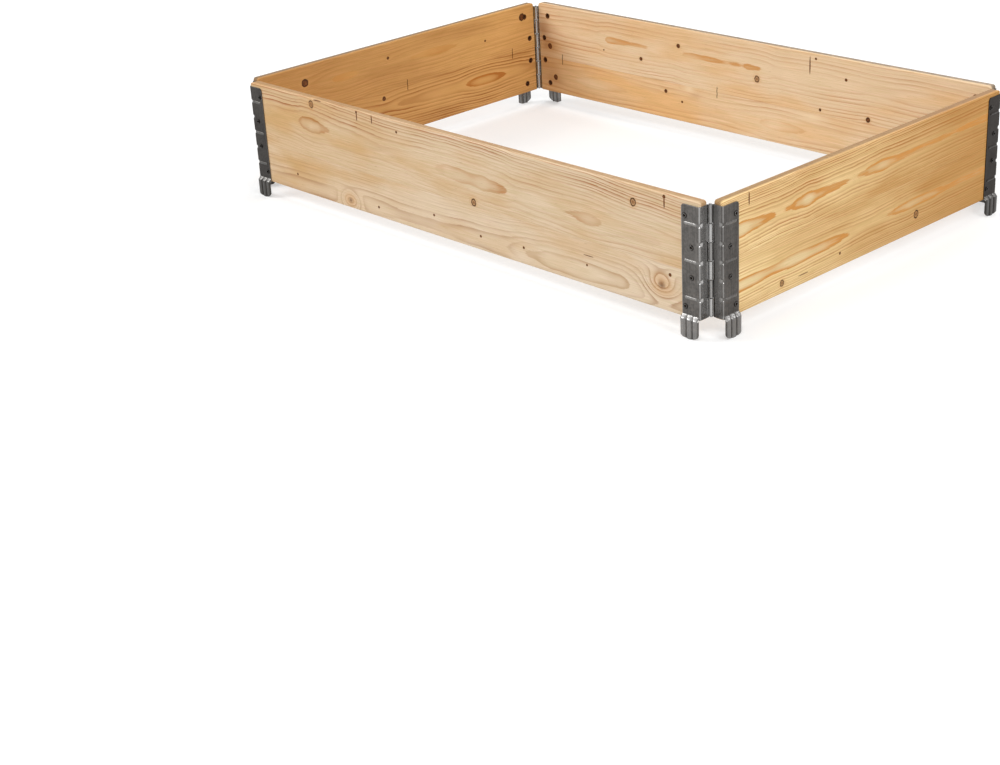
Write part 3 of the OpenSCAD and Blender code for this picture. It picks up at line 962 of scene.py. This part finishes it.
def paint_board(mesh, board, half, seats, local):
    """Stores place, ring and stain at each vertex, and the nearest knot's offset and grade at each corner.

    The rivet seats count as dark knots, painted shade in the seat holes, and the stains by the back-left
    corner are painted shade. A face is sawn where it runs through the board.
    """
    u, v, z = local.T
    add_field(mesh, "place", local, "FLOAT_VECTOR", "POINT")
    add_field(mesh, "ring", growth_field(board, half, u, v, z), "FLOAT", "POINT")
    add_field(mesh, "stain_and_shade", stain_and_shade_field(board, u, z), "FLOAT", "POINT")
    corner = np.empty(len(mesh.loops), np.int32)
    mesh.loops.foreach_get("vertex_index", corner)
    totals = np.empty(len(mesh.polygons), np.int32)
    mesh.polygons.foreach_get("loop_total", totals)
    starts = np.concatenate([[0], np.cumsum(totals)[:-1]])
    at_corner = local[corner]
    middle = np.add.reduceat(at_corner, starts, axis=0) / totals[:, None]
    seat_r = SEAT_R + SEAT_SHADE_REACH
    knots = np.array(board["knots"] + [(u, z, seat_r, seat_r, *SEAT_SHADE_GRADE) for u, z in seats])
    far = np.hypot(middle[:, :1] - knots[:, 0], middle[:, 2:] - knots[:, 1])
    far = far / np.sqrt(knots[:, 2] * knots[:, 3])
    chosen = np.repeat(knots[np.argmin(far, axis=1)], totals, axis=0)
    offset = (at_corner[:, [0, 2]] - chosen[:, :2]) / chosen[:, 2:4]
    add_field(mesh, "knot", np.column_stack([offset, np.zeros(len(offset))]), "FLOAT_VECTOR", "CORNER")
    highest = np.maximum.reduceat(at_corner, starts, axis=0)
    spans = highest - np.minimum.reduceat(at_corner, starts, axis=0)
    sawn = np.repeat((spans[:, 1] > np.minimum(spans[:, 0], spans[:, 2])).astype(float), totals)
    add_field(mesh, "grade", np.column_stack([chosen[:, 4:6], sawn]), "FLOAT_VECTOR", "CORNER")


def eased(points, half, low, high, low_ease, high_ease, corner_r):
    """A block's points pulled in to its core and pushed out again by the ease, which rounds every edge.

    The core is the block less the ease on each side, with its upper end corners cut by an arc.
    """
    u, v, z = points.T
    core_u = np.clip(u, -half + EASE, half - EASE)
    core_v = np.clip(v, EASE, BOARD_T - EASE)
    core_z = np.clip(z, low + low_ease, high - high_ease)
    if corner_r > EASE:
        centre_u = np.clip(u, -half + corner_r, half - corner_r)
        centre_z = np.minimum(z, high - corner_r)
        reach = np.hypot(u - centre_u, z - centre_z)
        share = np.minimum(1.0, (corner_r - EASE) / np.maximum(reach, TINY))
        at_corner = (u != centre_u) & (z != centre_z)
        core_u = np.where(at_corner, centre_u + share * (u - centre_u), core_u)
        core_z = np.where(at_corner, centre_z + share * (z - centre_z), core_z)
    radius_z = np.where(z < (low + high) / 2, low_ease, high_ease)
    radius = np.stack([np.full_like(u, EASE), np.full_like(u, EASE), radius_z], axis=1)
    core = np.stack([core_u, core_v, core_z], axis=1)
    push = (points - core) / radius
    push = push / np.linalg.norm(push, axis=1, keepdims=True)
    return core + push * radius


def make_board(side, level):
    """A board as six grids over a block's faces with eased edges, and round seats for its rivets inside."""
    board = wood_of(side, level)
    half = SIZE[side]["half"]
    seam = SIZE[side]["seam"]
    upper = level == "upper"
    low, high = (seam, SIDE_H) if upper else (0.0, seam)
    low_ease, high_ease = (SEAM_EASE, EASE) if upper else (EASE, SEAM_EASE)
    corner_r = TOP_CORNER_R if upper else 0.0

    rivets = [(x, z) for x, z in zip(RIVET_X, RIVET_Z) if low < z < high]
    seats = [(sign * (half + x), z) for sign in (1, -1) for x, z in rivets]
    holes = [window(u, z, SEAT_WINDOW) for u, z in seats]
    u_insets = (0, MID_ARC * EASE, EASE, TOP_CORNER_R)
    u_keys = [sign * (half - inset) for sign in (1, -1) for inset in u_insets]
    u_keys += [edge for hole in holes for edge in hole[:2]]
    z_keys = [low, low + MID_ARC * low_ease, low + low_ease, high - corner_r]
    z_keys += [high - high_ease, high - MID_ARC * high_ease, high]
    z_keys += [edge for hole in holes for edge in hole[2:]]
    v_keys = [0, MID_ARC * EASE, EASE, BOARD_T - EASE, BOARD_T - MID_ARC * EASE, BOARD_T]
    fine_ends = [(-half, TOP_CORNER_R - half, CORNER_STEP), (half - TOP_CORNER_R, half, CORNER_STEP)]
    u_lines = lines(u_keys, WOOD_STEP, fine_ends)
    z_lines = lines(z_keys, WOOD_STEP_Z, [(high - corner_r, high, CORNER_STEP)])
    v_lines = lines(v_keys, WOOD_STEP)

    # For each pair of faces the axis across it, its grid lines, and the place and holes of either face
    faces = (
        (1, u_lines, z_lines, ((0.0, ()), (BOARD_T, holes))),
        (2, u_lines, v_lines, ((low, ()), (high, ()))),
        (0, v_lines, z_lines, ((-half, ()), (half, ()))),
    )
    parts = []
    for axis, a_lines, b_lines, pair in faces:
        for (place, cut), order in zip(pair, (-1, 1)):
            points, quads = grid(a_lines, b_lines, cut)
            block = np.insert(points, axis, place, axis=1)
            parts.append((eased(block, half, low, high, low_ease, high_ease, corner_r), quads[:, ::order]))
    radii, depths = zip(*SEAT_RINGS)
    for centre, hole in zip(seats, holes):
        edge = hole_edge(u_lines, z_lines, hole)
        points, quads = hole_rings(edge, np.array(centre), radii)
        depth = np.repeat((0.0, *depths), len(edge))
        parts.append((np.insert(points, 1, BOARD_T - depth, axis=1), quads))

    local, quads = join(parts)
    world = on_side(side, *local.T)
    mesh, first = fill_mesh(f"{side}_{level}_plank", world, facing_out(world, quads))
    mesh.set_sharp_from_angle(angle=SHARP)
    paint_board(mesh, board, half, seats, local[first])
    add_piece(mesh, pine(f"pine_{side}_{level}", board), f"{side}_{level}_board")


# Hinge leaves


def pressed(s, z):
    """Height of the sheet's pressings: round-ended ribs stand out, and facets at the bend are pushed in."""
    rib_r = ((RIB_W / 2) ** 2 + RIB_RISE**2) / (2 * RIB_RISE)
    rib_middle = -FLANGE_EDGE / 2 + SHEET / 2
    rib_half = rib_middle - RIB_END
    lift = np.zeros_like(s)
    for rib in RIB_Z:
        far = np.hypot(np.maximum(np.abs(s - rib_middle) - rib_half, 0.0), z - rib)
        arc = np.sqrt(np.maximum(rib_r**2 - far**2, 0.0)) - (rib_r - RIB_RISE)
        lift = np.maximum(lift, arc)
    bend_middle = (FLANGE_RUN + RETURN_START) / 2
    for gusset in GUSSET_Z:
        level = np.clip(1.0 - np.abs(z - gusset) / GUSSET_HALF_H, 0.0, 1.0)
        reach = np.clip(1.0 - np.abs(s - bend_middle) / GUSSET_HALF_S, 0.0, 1.0)
        lift = lift - GUSSET_DEPTH * np.minimum(level * GUSSET_STEEP, 1.0) * reach
    return lift


def lobe_share(s):
    """Height of the prong's lobes side by side, from 0 between two of them to 1 on a crown."""
    across = np.mod(s * LOBES / PRONG_W, 1.0)
    return 1 - (2 * across - 1) ** LOBE_POWER


def prong_step(s, z):
    """How far the prong stands off the flange, and how far it flares to both sides.

    It stands off along a ramp down its step, with round lobes side by side on it.
    """
    ramp_share = np.clip((STEP_TOP - z) / STEP_H, 0.0, 1.0)
    smooth = ramp_share**2 * (3 - 2 * ramp_share)
    soft = RAMP_STRAIGHT * ramp_share + (1 - RAMP_STRAIGHT) * smooth
    lobe = LOBE_RISE * lobe_share(s)
    flare = ramp_share * (s / PRONG_W * (FLARE_BEND + FLARE_FREE) - FLARE_FREE)
    on_prong = s < PRONG_W + NEAR
    return np.where(on_prong, soft * (PRONG_STEP + lobe), 0.0), np.where(on_prong, flare, 0.0)


def leaf_sheet(s, z):
    """Middle of the leaf's sheet at length s and height z, in the end's frame.

    The sheet runs straight along the flange, turns a quarter round the bend, runs on over the board's end
    and rolls round the pin. Pressings move it along its normal, and the prong steps off the flange.
    """
    turn = np.clip((s - FLANGE_RUN) / BEND_MID, 0.0, math.pi / 2)
    roll = np.clip((s - ROLL_START) / ROLL_MID, 0.0, ROLL_TURN)
    x = FLANGE_EDGE + np.minimum(s, FLANGE_RUN) + BEND_MID * np.sin(turn) + ROLL_MID * (1 - np.cos(roll))
    v = -SHEET / 2 + BEND_MID * (1 - np.cos(turn)) + np.clip(s - RETURN_START, 0.0, ROLL_START - RETURN_START)
    v = v + ROLL_MID * np.sin(roll)
    lift = pressed(s, z)
    step, flare = prong_step(s, z)
    return np.stack([x + lift * np.sin(turn) + flare, v - lift * np.cos(turn) - step, z], axis=1)


def rounded_flange(points):
    """Flange points with the upper free corner drawn in, so that the corner square becomes a quarter disc."""
    a = np.clip((FLANGE_CORNER_R - points[:, 0]) / FLANGE_CORNER_R, 0.0, 1.0)
    b = np.clip((points[:, 1] - LEAF_TOP + FLANGE_CORNER_R) / FLANGE_CORNER_R, 0.0, 1.0)
    share = np.maximum(a, b) / np.maximum(np.hypot(a, b), TINY)
    corner = (a > 0) & (b > 0)
    s = np.where(corner, FLANGE_CORNER_R * (1 - a * share), points[:, 0])
    z = np.where(corner, LEAF_TOP - FLANGE_CORNER_R * (1 - b * share), points[:, 1])
    return np.column_stack([s, z])


def tongue(points):
    """Prong points from a unit height to the tongue, whose lower edge rises to both round corners."""
    s, share = points.T
    middle = PRONG_W / 2
    edge = np.minimum(s, PRONG_W - s)
    inset = np.clip(TONGUE_CORNER_R - edge, 0.0, TONGUE_CORNER_R)
    rise = TONGUE_RISE * ((s - middle) / middle) ** 2
    rise = rise + TONGUE_CORNER_R - np.sqrt(TONGUE_CORNER_R**2 - inset**2)
    return np.column_stack([s, STEP_TOP - share * (STEP_TOP - PRONG_TIP - rise)])


def knuckle_spans(sign):
    """Lower and upper height of each knuckle of a leaf: every other place on the pin."""
    pitch = (LEAF_TOP - KNUCKLE_MARGIN + KNUCKLE_GAP) / KNUCKLES
    first = 1 if sign > 0 else 0
    tops = LEAF_TOP - pitch * np.arange(first, KNUCKLES, 2)
    return [(top - pitch + KNUCKLE_GAP + KNUCKLE_EASE, top - KNUCKLE_EASE) for top in tops]


# Leaves at the near and back-left corners, which get the lighter steel; the others get the darker copies
BRIGHT_LEAVES = ("front_right", "right_front", "back_left", "left_back")
# How much a leaf's return is lightened, partly as less weathered and partly as painted light in the
# shaded recess between the returns, the painted shade all over the leaf above its prong, and the painted
# shade where the return ends beside a knuckle, which is negative where that end is painted light instead
PLAIN_PAINTED_LIGHT = (0.55, 0.0, 0.2)
LEAF_PAINTED_LIGHT = {
    "front_right": (0.85, 0.0, 0.9),
    "right_front": (0.55, 0.3, 0.9),
    "right_back": (0.55, 0.65, 0.65),
    "back_left": (0.7, 0.0, -0.3),
    "left_back": (0.7, 0.0, -0.3),
}
# Wear of the rim and knuckles, wear with painted highlight on the ribs and bend, painted highlight on the
# facets and on the crowns of the lobes on the prong's step and below it, and the share of a lobe's height
# at which its painted highlight turns to painted shade in the grooves
RIM_WEAR = 0.5
RIM_WEAR_W = 0.8
RIB_WEAR_AND_HIGHLIGHT = 0.4
BEND_WEAR_AND_HIGHLIGHT = 0.6
ROLL_WEAR = 0.25
FACET_HIGHLIGHT = 0.2
STEP_HIGHLIGHT = 0.7
STEP_SHADE_SHARE = 0.3
STEP_PAINTED_TOP = 0.3
TONGUE_HIGHLIGHT = 0.9
TONGUE_SHADE_SHARE = 0.6
RETURN_FADE = 2.0
# Painted shade under and round each rivet head, out by the margin past its edge
RIVET_SHADE = 0.9
RIVET_SHADE_MARGIN = 0.1
# Most wear and painted light on the darker, painted-shade leaves above their prongs
SHADED_LEAF_MOST = 0.5


def leaf_pieces(spans, centres):
    """A leaf unrolled, as points (s, z) and quads: flange to return, rivet holes, prong and knuckles."""
    holes = [window(s, z, RIVET_WINDOW) for s, z in centres]
    end_shade_start = RETURN_END - END_SHADE_W
    s_keys = [0, FLANGE_CORNER_R, PRONG_W, FLANGE_RUN, RETURN_START, end_shade_start, RETURN_END]
    s_keys += [edge for hole in holes for edge in hole[:2]]
    s_fine = [
        (end_shade_start - END_SHADE_MARGIN, RETURN_END, END_SHADE_STEP),
        (0, FLANGE_CORNER_R, ROUND_STEP),
        (FLANGE_RUN - GUSSET_HALF_S, RETURN_START + GUSSET_HALF_S, BEND_STEP),
        (0, FLANGE_RUN, FLANGE_STEP),
    ]
    s_lines = lines(s_keys, SHEET_STEP, s_fine)
    reach = GUSSET_HALF_H + GUSSET_MARGIN
    z_fine = [(z - reach, z + reach, BEND_STEP) for z in GUSSET_Z]
    z_keys = [BEND_MARGIN, STEP_TOP, LEAF_TOP - FLANGE_CORNER_R, LEAF_TOP]
    z_keys += [edge for hole in holes for edge in hole[2:]]
    z_keys += [edge for span in spans for edge in span]
    z_keys += [edge for zone in z_fine for edge in zone[:2]]
    z_lines = lines(z_keys, SHEET_STEP_Z, z_fine + [(LEAF_TOP - FLANGE_CORNER_R, LEAF_TOP, ROUND_STEP)])

    flange, flange_quads = grid(s_lines, z_lines, holes + [(-1, PRONG_W, 0, STEP_TOP)])
    parts = [(rounded_flange(flange), flange_quads)]
    for centre, hole in zip(centres, holes):
        edge = hole_edge(s_lines, z_lines, hole)
        parts.append(hole_rings(edge, centre, [RIVET_SHADE_R, HEAD_R, RIVET_HOLE_R]))
    prong_points, prong_quads = grid(s_lines[s_lines < PRONG_W + NEAR], PRONG_DROP)
    parts.append((tongue(prong_points), prong_quads[:, ::-1]))
    roll_lines = np.concatenate([[RETURN_END], np.linspace(ROLL_START, ROLL_END, ROLL_LINES)])
    for low, high in spans:
        span_lines = z_lines[(z_lines > low - NEAR) & (z_lines < high + NEAR)]
        parts.append(grid(roll_lines, span_lines))
    return join(parts)


def leaf_wear_and_light(leaf, s, z, spans, centres):
    """How light the sheet is at each point from wear and painted light, or how dark where it is negative.

    Wear adds up over the free rim and the knuckles, and wear with painted highlight over the ribs and the
    bend; painted highlight lies over the facets and the crowns of the prong's lobes, and the return gets
    both wear and painted light. Painted shade lies over the leaf above the prong, at the return's end, round
    each rivet and in the grooves between the lobes.
    """
    return_light, leaf_shade, end_shade = LEAF_PAINTED_LIGHT.get(leaf, PLAIN_PAINTED_LIGHT)
    lift = pressed(s, z)
    turn = np.clip((s - FLANGE_RUN) / BEND_MID, 0.0, math.pi / 2)
    rim = np.minimum(s, LEAF_TOP - z)
    # Rim wear, and wear with painted highlight along the bend and the ribs
    wear_and_painted_light = RIM_WEAR * np.exp(-((rim / RIM_WEAR_W) ** 2)) + BEND_WEAR_AND_HIGHLIGHT * np.sin(2 * turn)
    wear_and_painted_light = wear_and_painted_light + RIB_WEAR_AND_HIGHLIGHT * np.clip(lift / RIB_RISE, 0.0, 1.0)
    wear_and_painted_light = wear_and_painted_light + ROLL_WEAR * np.clip((s - ROLL_START) / ROLL_MID, 0.0, 1.0)
    # Wear, and painted light in the shaded recess between the returns
    wear_and_painted_light = wear_and_painted_light + return_light * np.clip((s - RETURN_START) / RETURN_FADE, 0.0, 1.0)
    # Painted highlight on the pushed-in facets, and painted shade over the leaf above its prong
    wear_and_painted_light = wear_and_painted_light - FACET_HIGHLIGHT * np.clip(lift, -1.0, 0.0) - leaf_shade * (z > STEP_TOP)
    lobe = lobe_share(s)
    on_prong = s < PRONG_W
    step_end = STEP_TOP - STEP_H
    # Painted highlight on the crowns of the prong's lobes and painted shade in the grooves between them
    on_step = (z < STEP_TOP - STEP_PAINTED_TOP) & (z > step_end) & on_prong
    wear_and_painted_light = wear_and_painted_light + STEP_HIGHLIGHT * on_step * (lobe - STEP_SHADE_SHARE)
    wear_and_painted_light = wear_and_painted_light + TONGUE_HIGHLIGHT * ((z <= step_end) & on_prong) * (lobe - TONGUE_SHADE_SHARE)
    # Painted shade at the return's end beside the other leaf's knuckles, painted light where it is negative
    beside_knuckles = s > RETURN_END - END_SHADE_W
    for low, high in spans:
        beside_knuckles &= (z <= low - NEAR) | (z >= high + NEAR)
    wear_and_painted_light = np.where(beside_knuckles, -end_shade, wear_and_painted_light)
    # Painted shade round each rivet head
    to_rivet = np.min(np.hypot(s[:, None] - centres[:, 0], z[:, None] - centres[:, 1]), axis=1)
    wear_and_painted_light = np.where(to_rivet < HEAD_R + RIVET_SHADE_MARGIN, -RIVET_SHADE, wear_and_painted_light)
    most = np.where((leaf in BRIGHT_LEAVES) | (z < STEP_TOP), 1.0, SHADED_LEAF_MOST)
    return np.clip(wear_and_painted_light, -1.0, most)


def make_leaf(side, leaf, sign):
    """A hinge leaf as one sheet, bent and rolled from its flat pieces, with thickness and broken edges."""
    spans = knuckle_spans(sign)
    centres = np.column_stack([RIVET_X - FLANGE_EDGE, RIVET_Z])
    flat, quads = leaf_pieces(spans, centres)
    used = np.unique(quads)
    renumber = np.zeros(len(flat), int)
    renumber[used] = np.arange(len(used))
    flat = flat[used]
    x, v, z = leaf_sheet(*flat.T).T
    world = on_side(side, sign * (SIZE[side]["half"] + x), v, z)
    mesh, first = fill_mesh(f"{leaf}_hinge_leaf", world, renumber[quads])
    add_field(mesh, "wear_and_painted_light", leaf_wear_and_light(leaf, *flat[first].T, spans, centres), "FLOAT", "POINT")
    finish = GALVANISED if leaf in BRIGHT_LEAVES else SHADED_GALVANISED
    piece = add_piece(mesh, finish, f"{leaf}_leaf")
    wall = piece.modifiers.new("sheet", "SOLIDIFY")
    wall.thickness = SHEET * MM
    wall.offset = 0.0
    wall.use_even_offset = True
    edge = piece.modifiers.new("broken_edges", "BEVEL")
    edge.width = SHEET_BEVEL * MM
    edge.segments = 2
    edge.limit_method = "ANGLE"
    edge.angle_limit = SHARP
    edge.harden_normals = True


# Rivets, pins and seam strips

# How much more worn a rivet head's crown is than its foot, the painted shade on that foot and on the rolled
# end down in its seat, the wear of a pin's ends and the soil on its shank
CROWN_WEAR = 1.1
FOOT_SHADE = 0.7
ROLLED_END_SHADE = 0.85
PIN_END_WEAR = 0.3
PIN_SHANK_SOIL = 0.9


def make_rivets(side, leaf, sign):
    """Four tubular rivets: a half-round ring for the head, the shank, and a half-round rolled end inside."""
    half = SIZE[side]["half"]
    seat = BOARD_T - SEAT_DEPTH
    head_mid, head_half = (HEAD_R + BORE_R) / 2, (HEAD_R - BORE_R) / 2
    roll_mid, roll_half = (ROLLED_R + BORE_R) / 2, (ROLLED_R - BORE_R) / 2
    cos, sin = np.cos(HEAD_ARC), np.sin(HEAD_ARC)
    head = np.column_stack([head_mid - head_half * cos, -SHEET - HEAD_H * sin])
    rolled = np.column_stack([roll_mid + roll_half * cos, seat + ROLLED_H * sin])
    shank = np.array([[SHANK_R, -SHEET], [SHANK_R, seat]])
    ring, quads = turned(np.concatenate([head, shank, rolled]), ROUND, closed=True)
    parts = []
    for x, z in zip(RIVET_X, RIVET_Z):
        world = on_side(side, sign * (half + x) + ring[:, 0], ring[:, 2], z + ring[:, 1])
        parts.append((world, facing_out(world, quads)))
    mesh, first = fill_mesh(f"{leaf}_tubular_rivets", *join(parts))
    mesh.set_sharp_from_angle(angle=RIVET_SHARP)
    crown = CROWN_WEAR * sin**2 - FOOT_SHADE
    wear_and_painted_light = np.concatenate([crown, np.zeros(len(shank)), np.full(len(rolled), -ROLLED_END_SHADE)])
    add_field(mesh, "wear_and_painted_light", np.tile(np.repeat(wear_and_painted_light, ROUND), RIVETS)[first], "FLOAT", "POINT")
    finish = RIVET_STEEL if leaf in BRIGHT_LEAVES else SHADED_RIVET_STEEL
    add_piece(mesh, finish, f"{leaf}_rivets")


def make_pin(node):
    """A hinge pin turned from a profile: a domed head at each end of a plain shank."""
    low, high = node_box(node)
    centre = (low + high) / 2
    under_top = high[2] - PIN_HEAD_H
    over_bottom = low[2] + PIN_HEAD_H
    cos, sin = np.cos(PIN_DOME), np.sin(PIN_DOME)
    top = np.column_stack([PIN_HEAD_R * sin, under_top + PIN_HEAD_H * cos])
    bottom = np.column_stack([PIN_HEAD_R * cos, over_bottom - PIN_HEAD_H * sin])
    shank = np.array([[PIN_SHANK_R, under_top], [PIN_SHANK_R, over_bottom]])
    points, quads = turned(np.concatenate([top, shank, bottom]), ROUND, closed=False)
    points = points + np.array([centre[0], centre[1], 0.0])
    mesh, first = fill_mesh(node.replace("_pin", "_peened_pin"), points, facing_out(points, quads))
    mesh.set_sharp_from_angle(angle=SHARP)
    end = np.full(len(PIN_DOME), PIN_END_WEAR)
    wear_and_painted_light = np.concatenate([end, np.full(len(shank), -PIN_SHANK_SOIL), end])
    add_field(mesh, "wear_and_painted_light", np.repeat(wear_and_painted_light, ROUND)[first], "FLOAT", "POINT")
    add_piece(mesh, PIN_STEEL, node)


def make_strips(side):
    """Three thin strips across a seam, each a slightly waved ribbon whose edge shows on the inner face."""
    reach = SIZE[side]["half"] - STRIP_INSET
    shift = LONG_STRIP_SHIFT if side in LONG_SIDES else 0.0
    up = np.linspace(-STRIP_L / 2, STRIP_L / 2, STRIP_LINES)
    wave = STRIP_WAVE * np.sin(4 * math.pi * up / STRIP_L)
    taper = np.sqrt(np.clip(1 - (2 * up / STRIP_L) ** STRIP_END_POWER, STRIP_END_SHARE, 1))
    across = np.array([-1, -1, 1, 1]) * STRIP_T / 2
    inwards = np.array([-1, 0, 0, -1]) * STRIP_DEPTH
    quads = rings(STRIP_LINES, len(across))
    caps = np.array([[3, 2, 1, 0], [0, 1, 2, 3]])
    caps[1] += len(across) * (STRIP_LINES - 1)
    quads = np.concatenate([quads, caps])
    parts = []
    for middle in (-reach, shift, reach):
        u = middle + wave[:, None] + across * taper[:, None]
        v = np.broadcast_to(BOARD_T + STRIP_PROUD + inwards, u.shape)
        z = np.repeat((SIZE[side]["seam"] + up)[:, None], len(across), axis=1)
        points = on_side(side, u.ravel(), v.ravel(), z.ravel())
        parts.append((points, facing_out(points, quads)))
    mesh, first = fill_mesh(f"{side}_seam_fasteners", *join(parts))
    mesh.set_sharp_from_angle(angle=STRIP_SHARP)
    add_field(mesh, "wear_and_painted_light", np.zeros(len(first)), "FLOAT", "POINT")
    add_piece(mesh, STRIP_STEEL, f"{side}_seam_strips")


for side in SIDES:
    for level in ("upper", "lower"):
        make_board(side, level)
    for leaf, sign in ENDS[side]:
        make_leaf(side, leaf, sign)
        make_rivets(side, leaf, sign)
    make_strips(side)
for pin in PINS:
    make_pin(pin)


# Floor, light and camera, in metres

FLOOR_REACH = 12.0
FLOOR_LINES = 9
FLOOR_GREY = (0.62, 0.62, 0.62, 1.0)
WHITE = (1.0, 1.0, 1.0, 1.0)
# Distances from the collar's middle between which the floor's lift to white grows, and the lift at each
FLOOR_LIFT = (0.9, 3.0, 0.36, 1.0)
WORLD_LEVEL = 0.42
MIDDLE = (0.0, 0.0, 0.1)
# Each lamp's name, place, target, width, height and power in watts
LAMPS = (
    ("key", (-3.1, -2.8, 2.5), MIDDLE, 2.0, 1.6, 97),
    ("over_camera", (2.2, -2.6, 2.9), MIDDLE, 1.6, 1.2, 57),
    ("overhead", (0.2, 0.2, 3.6), MIDDLE, 2.6, 2.0, 30),
    ("far_right", (3.7, -0.5, 2.4), MIDDLE, 1.6, 1.4, 51),
    ("back_right", (1.95, 2.2, 1.75), (0.6, -0.2, 0.05), 0.5, 0.4, 6),
    ("behind", (-0.6, 4.0, 2.4), MIDDLE, 2.2, 1.6, 65),
)
CAMERA_AZIMUTH = math.radians(48.19)
CAMERA_ELEVATION = math.radians(24.74)
CAMERA_ROLL = math.radians(-3.49)
CAMERA_PLACE = Vector((2.3054, -2.3738, 1.1495))
# Focal length and sensor width in millimetres
CAMERA_LENS = 65.48
CAMERA_SENSOR = 36.0


def seen_directly(tree, otherwise, level):
    """One level for rays from the camera, or mirrored or let through by a surface, and one for the rest."""
    path = node_with(tree, "ShaderNodeLightPath", {})
    shown = sums(tree, "MAXIMUM", path.outputs["Is Camera Ray"], path.outputs["Is Glossy Ray"])
    shown = sums(tree, "MAXIMUM", shown, path.outputs["Is Transmission Ray"])
    return plus(tree, shown, level - otherwise, otherwise)


def make_floor():
    """A pale floor that camera and mirror rays see lifted to white, with the shadows left in it.

    The lift grows with the distance from the collar, so that the floor meets the backdrop in white.
    """
    floor_lines = np.linspace(-FLOOR_REACH, FLOOR_REACH, FLOOR_LINES)
    points, quads = grid(floor_lines, floor_lines)
    mesh, _ = fill_mesh("floor", np.insert(points, 2, 0.0, axis=1) / MM, quads)
    floor = bpy.data.objects.new("floor", mesh)
    bpy.context.scene.collection.objects.link(floor)
    finish = bpy.data.materials.new("pale_floor")
    finish.use_nodes = True
    tree = finish.node_tree
    tree.nodes.clear()
    diffuse = node_with(tree, "ShaderNodeBsdfDiffuse", {"Color": FLOOR_GREY}).outputs[0]
    place = node_with(tree, "ShaderNodeTexCoord", {}).outputs["Object"]
    lift = spread(tree, vectors(tree, "LENGTH", place).outputs["Value"], *FLOOR_LIFT)
    strength = times(tree, seen_directly(tree, 0.0, 1.0), lift)
    glow = node_with(tree, "ShaderNodeEmission", {"Color": WHITE, "Strength": strength})
    both = node_with(tree, "ShaderNodeAddShader", {0: diffuse, 1: glow.outputs[0]}).outputs[0]
    node_with(tree, "ShaderNodeOutputMaterial", {"Surface": both})
    mesh.materials.append(finish)


def make_world():
    """White where it is seen, and a plain soft light elsewhere."""
    world = bpy.data.worlds.new("studio")
    bpy.context.scene.world = world
    world.use_nodes = True
    tree = world.node_tree
    background = tree.nodes["Background"]
    background.inputs["Color"].default_value = WHITE
    tree.links.new(seen_directly(tree, WORLD_LEVEL, 1.0), background.inputs["Strength"])


def make_softbox(name, place, target, width, height, power):
    """A rectangular lamp at a place, turned to a target, both in metres."""
    lamp = bpy.data.lights.new(name, "AREA")
    lamp.shape = "RECTANGLE"
    lamp.size = width
    lamp.size_y = height
    lamp.energy = power
    holder = bpy.data.objects.new(name, lamp)
    holder.location = place
    holder.rotation_euler = (Vector(target) - Vector(place)).to_track_quat("-Z", "Y").to_euler()
    bpy.context.scene.collection.objects.link(holder)


def make_camera():
    """The photograph's viewpoint: its bearing round the collar, its height angle and a slight roll."""
    data = bpy.data.cameras.new("camera")
    data.lens = CAMERA_LENS
    data.sensor_width = CAMERA_SENSOR
    data.sensor_fit = "HORIZONTAL"
    camera = bpy.data.objects.new("camera", data)
    flat = math.cos(CAMERA_ELEVATION)
    rise = math.sin(CAMERA_ELEVATION)
    back = Vector((math.sin(CAMERA_AZIMUTH) * flat, -math.cos(CAMERA_AZIMUTH) * flat, rise))
    right = Vector((0, 0, 1)).cross(back).normalized()
    up = back.cross(right)
    cos = math.cos(CAMERA_ROLL)
    sin = math.sin(CAMERA_ROLL)
    axes = Matrix((cos * right + sin * up, cos * up - sin * right, back)).transposed()
    camera.matrix_world = Matrix.Translation(CAMERA_PLACE) @ axes.to_4x4()
    bpy.context.scene.collection.objects.link(camera)
    bpy.context.scene.camera = camera


make_floor()
make_world()
for lamp in LAMPS:
    make_softbox(*lamp)
make_camera()
bpy.context.scene.view_settings.view_transform = "Standard"
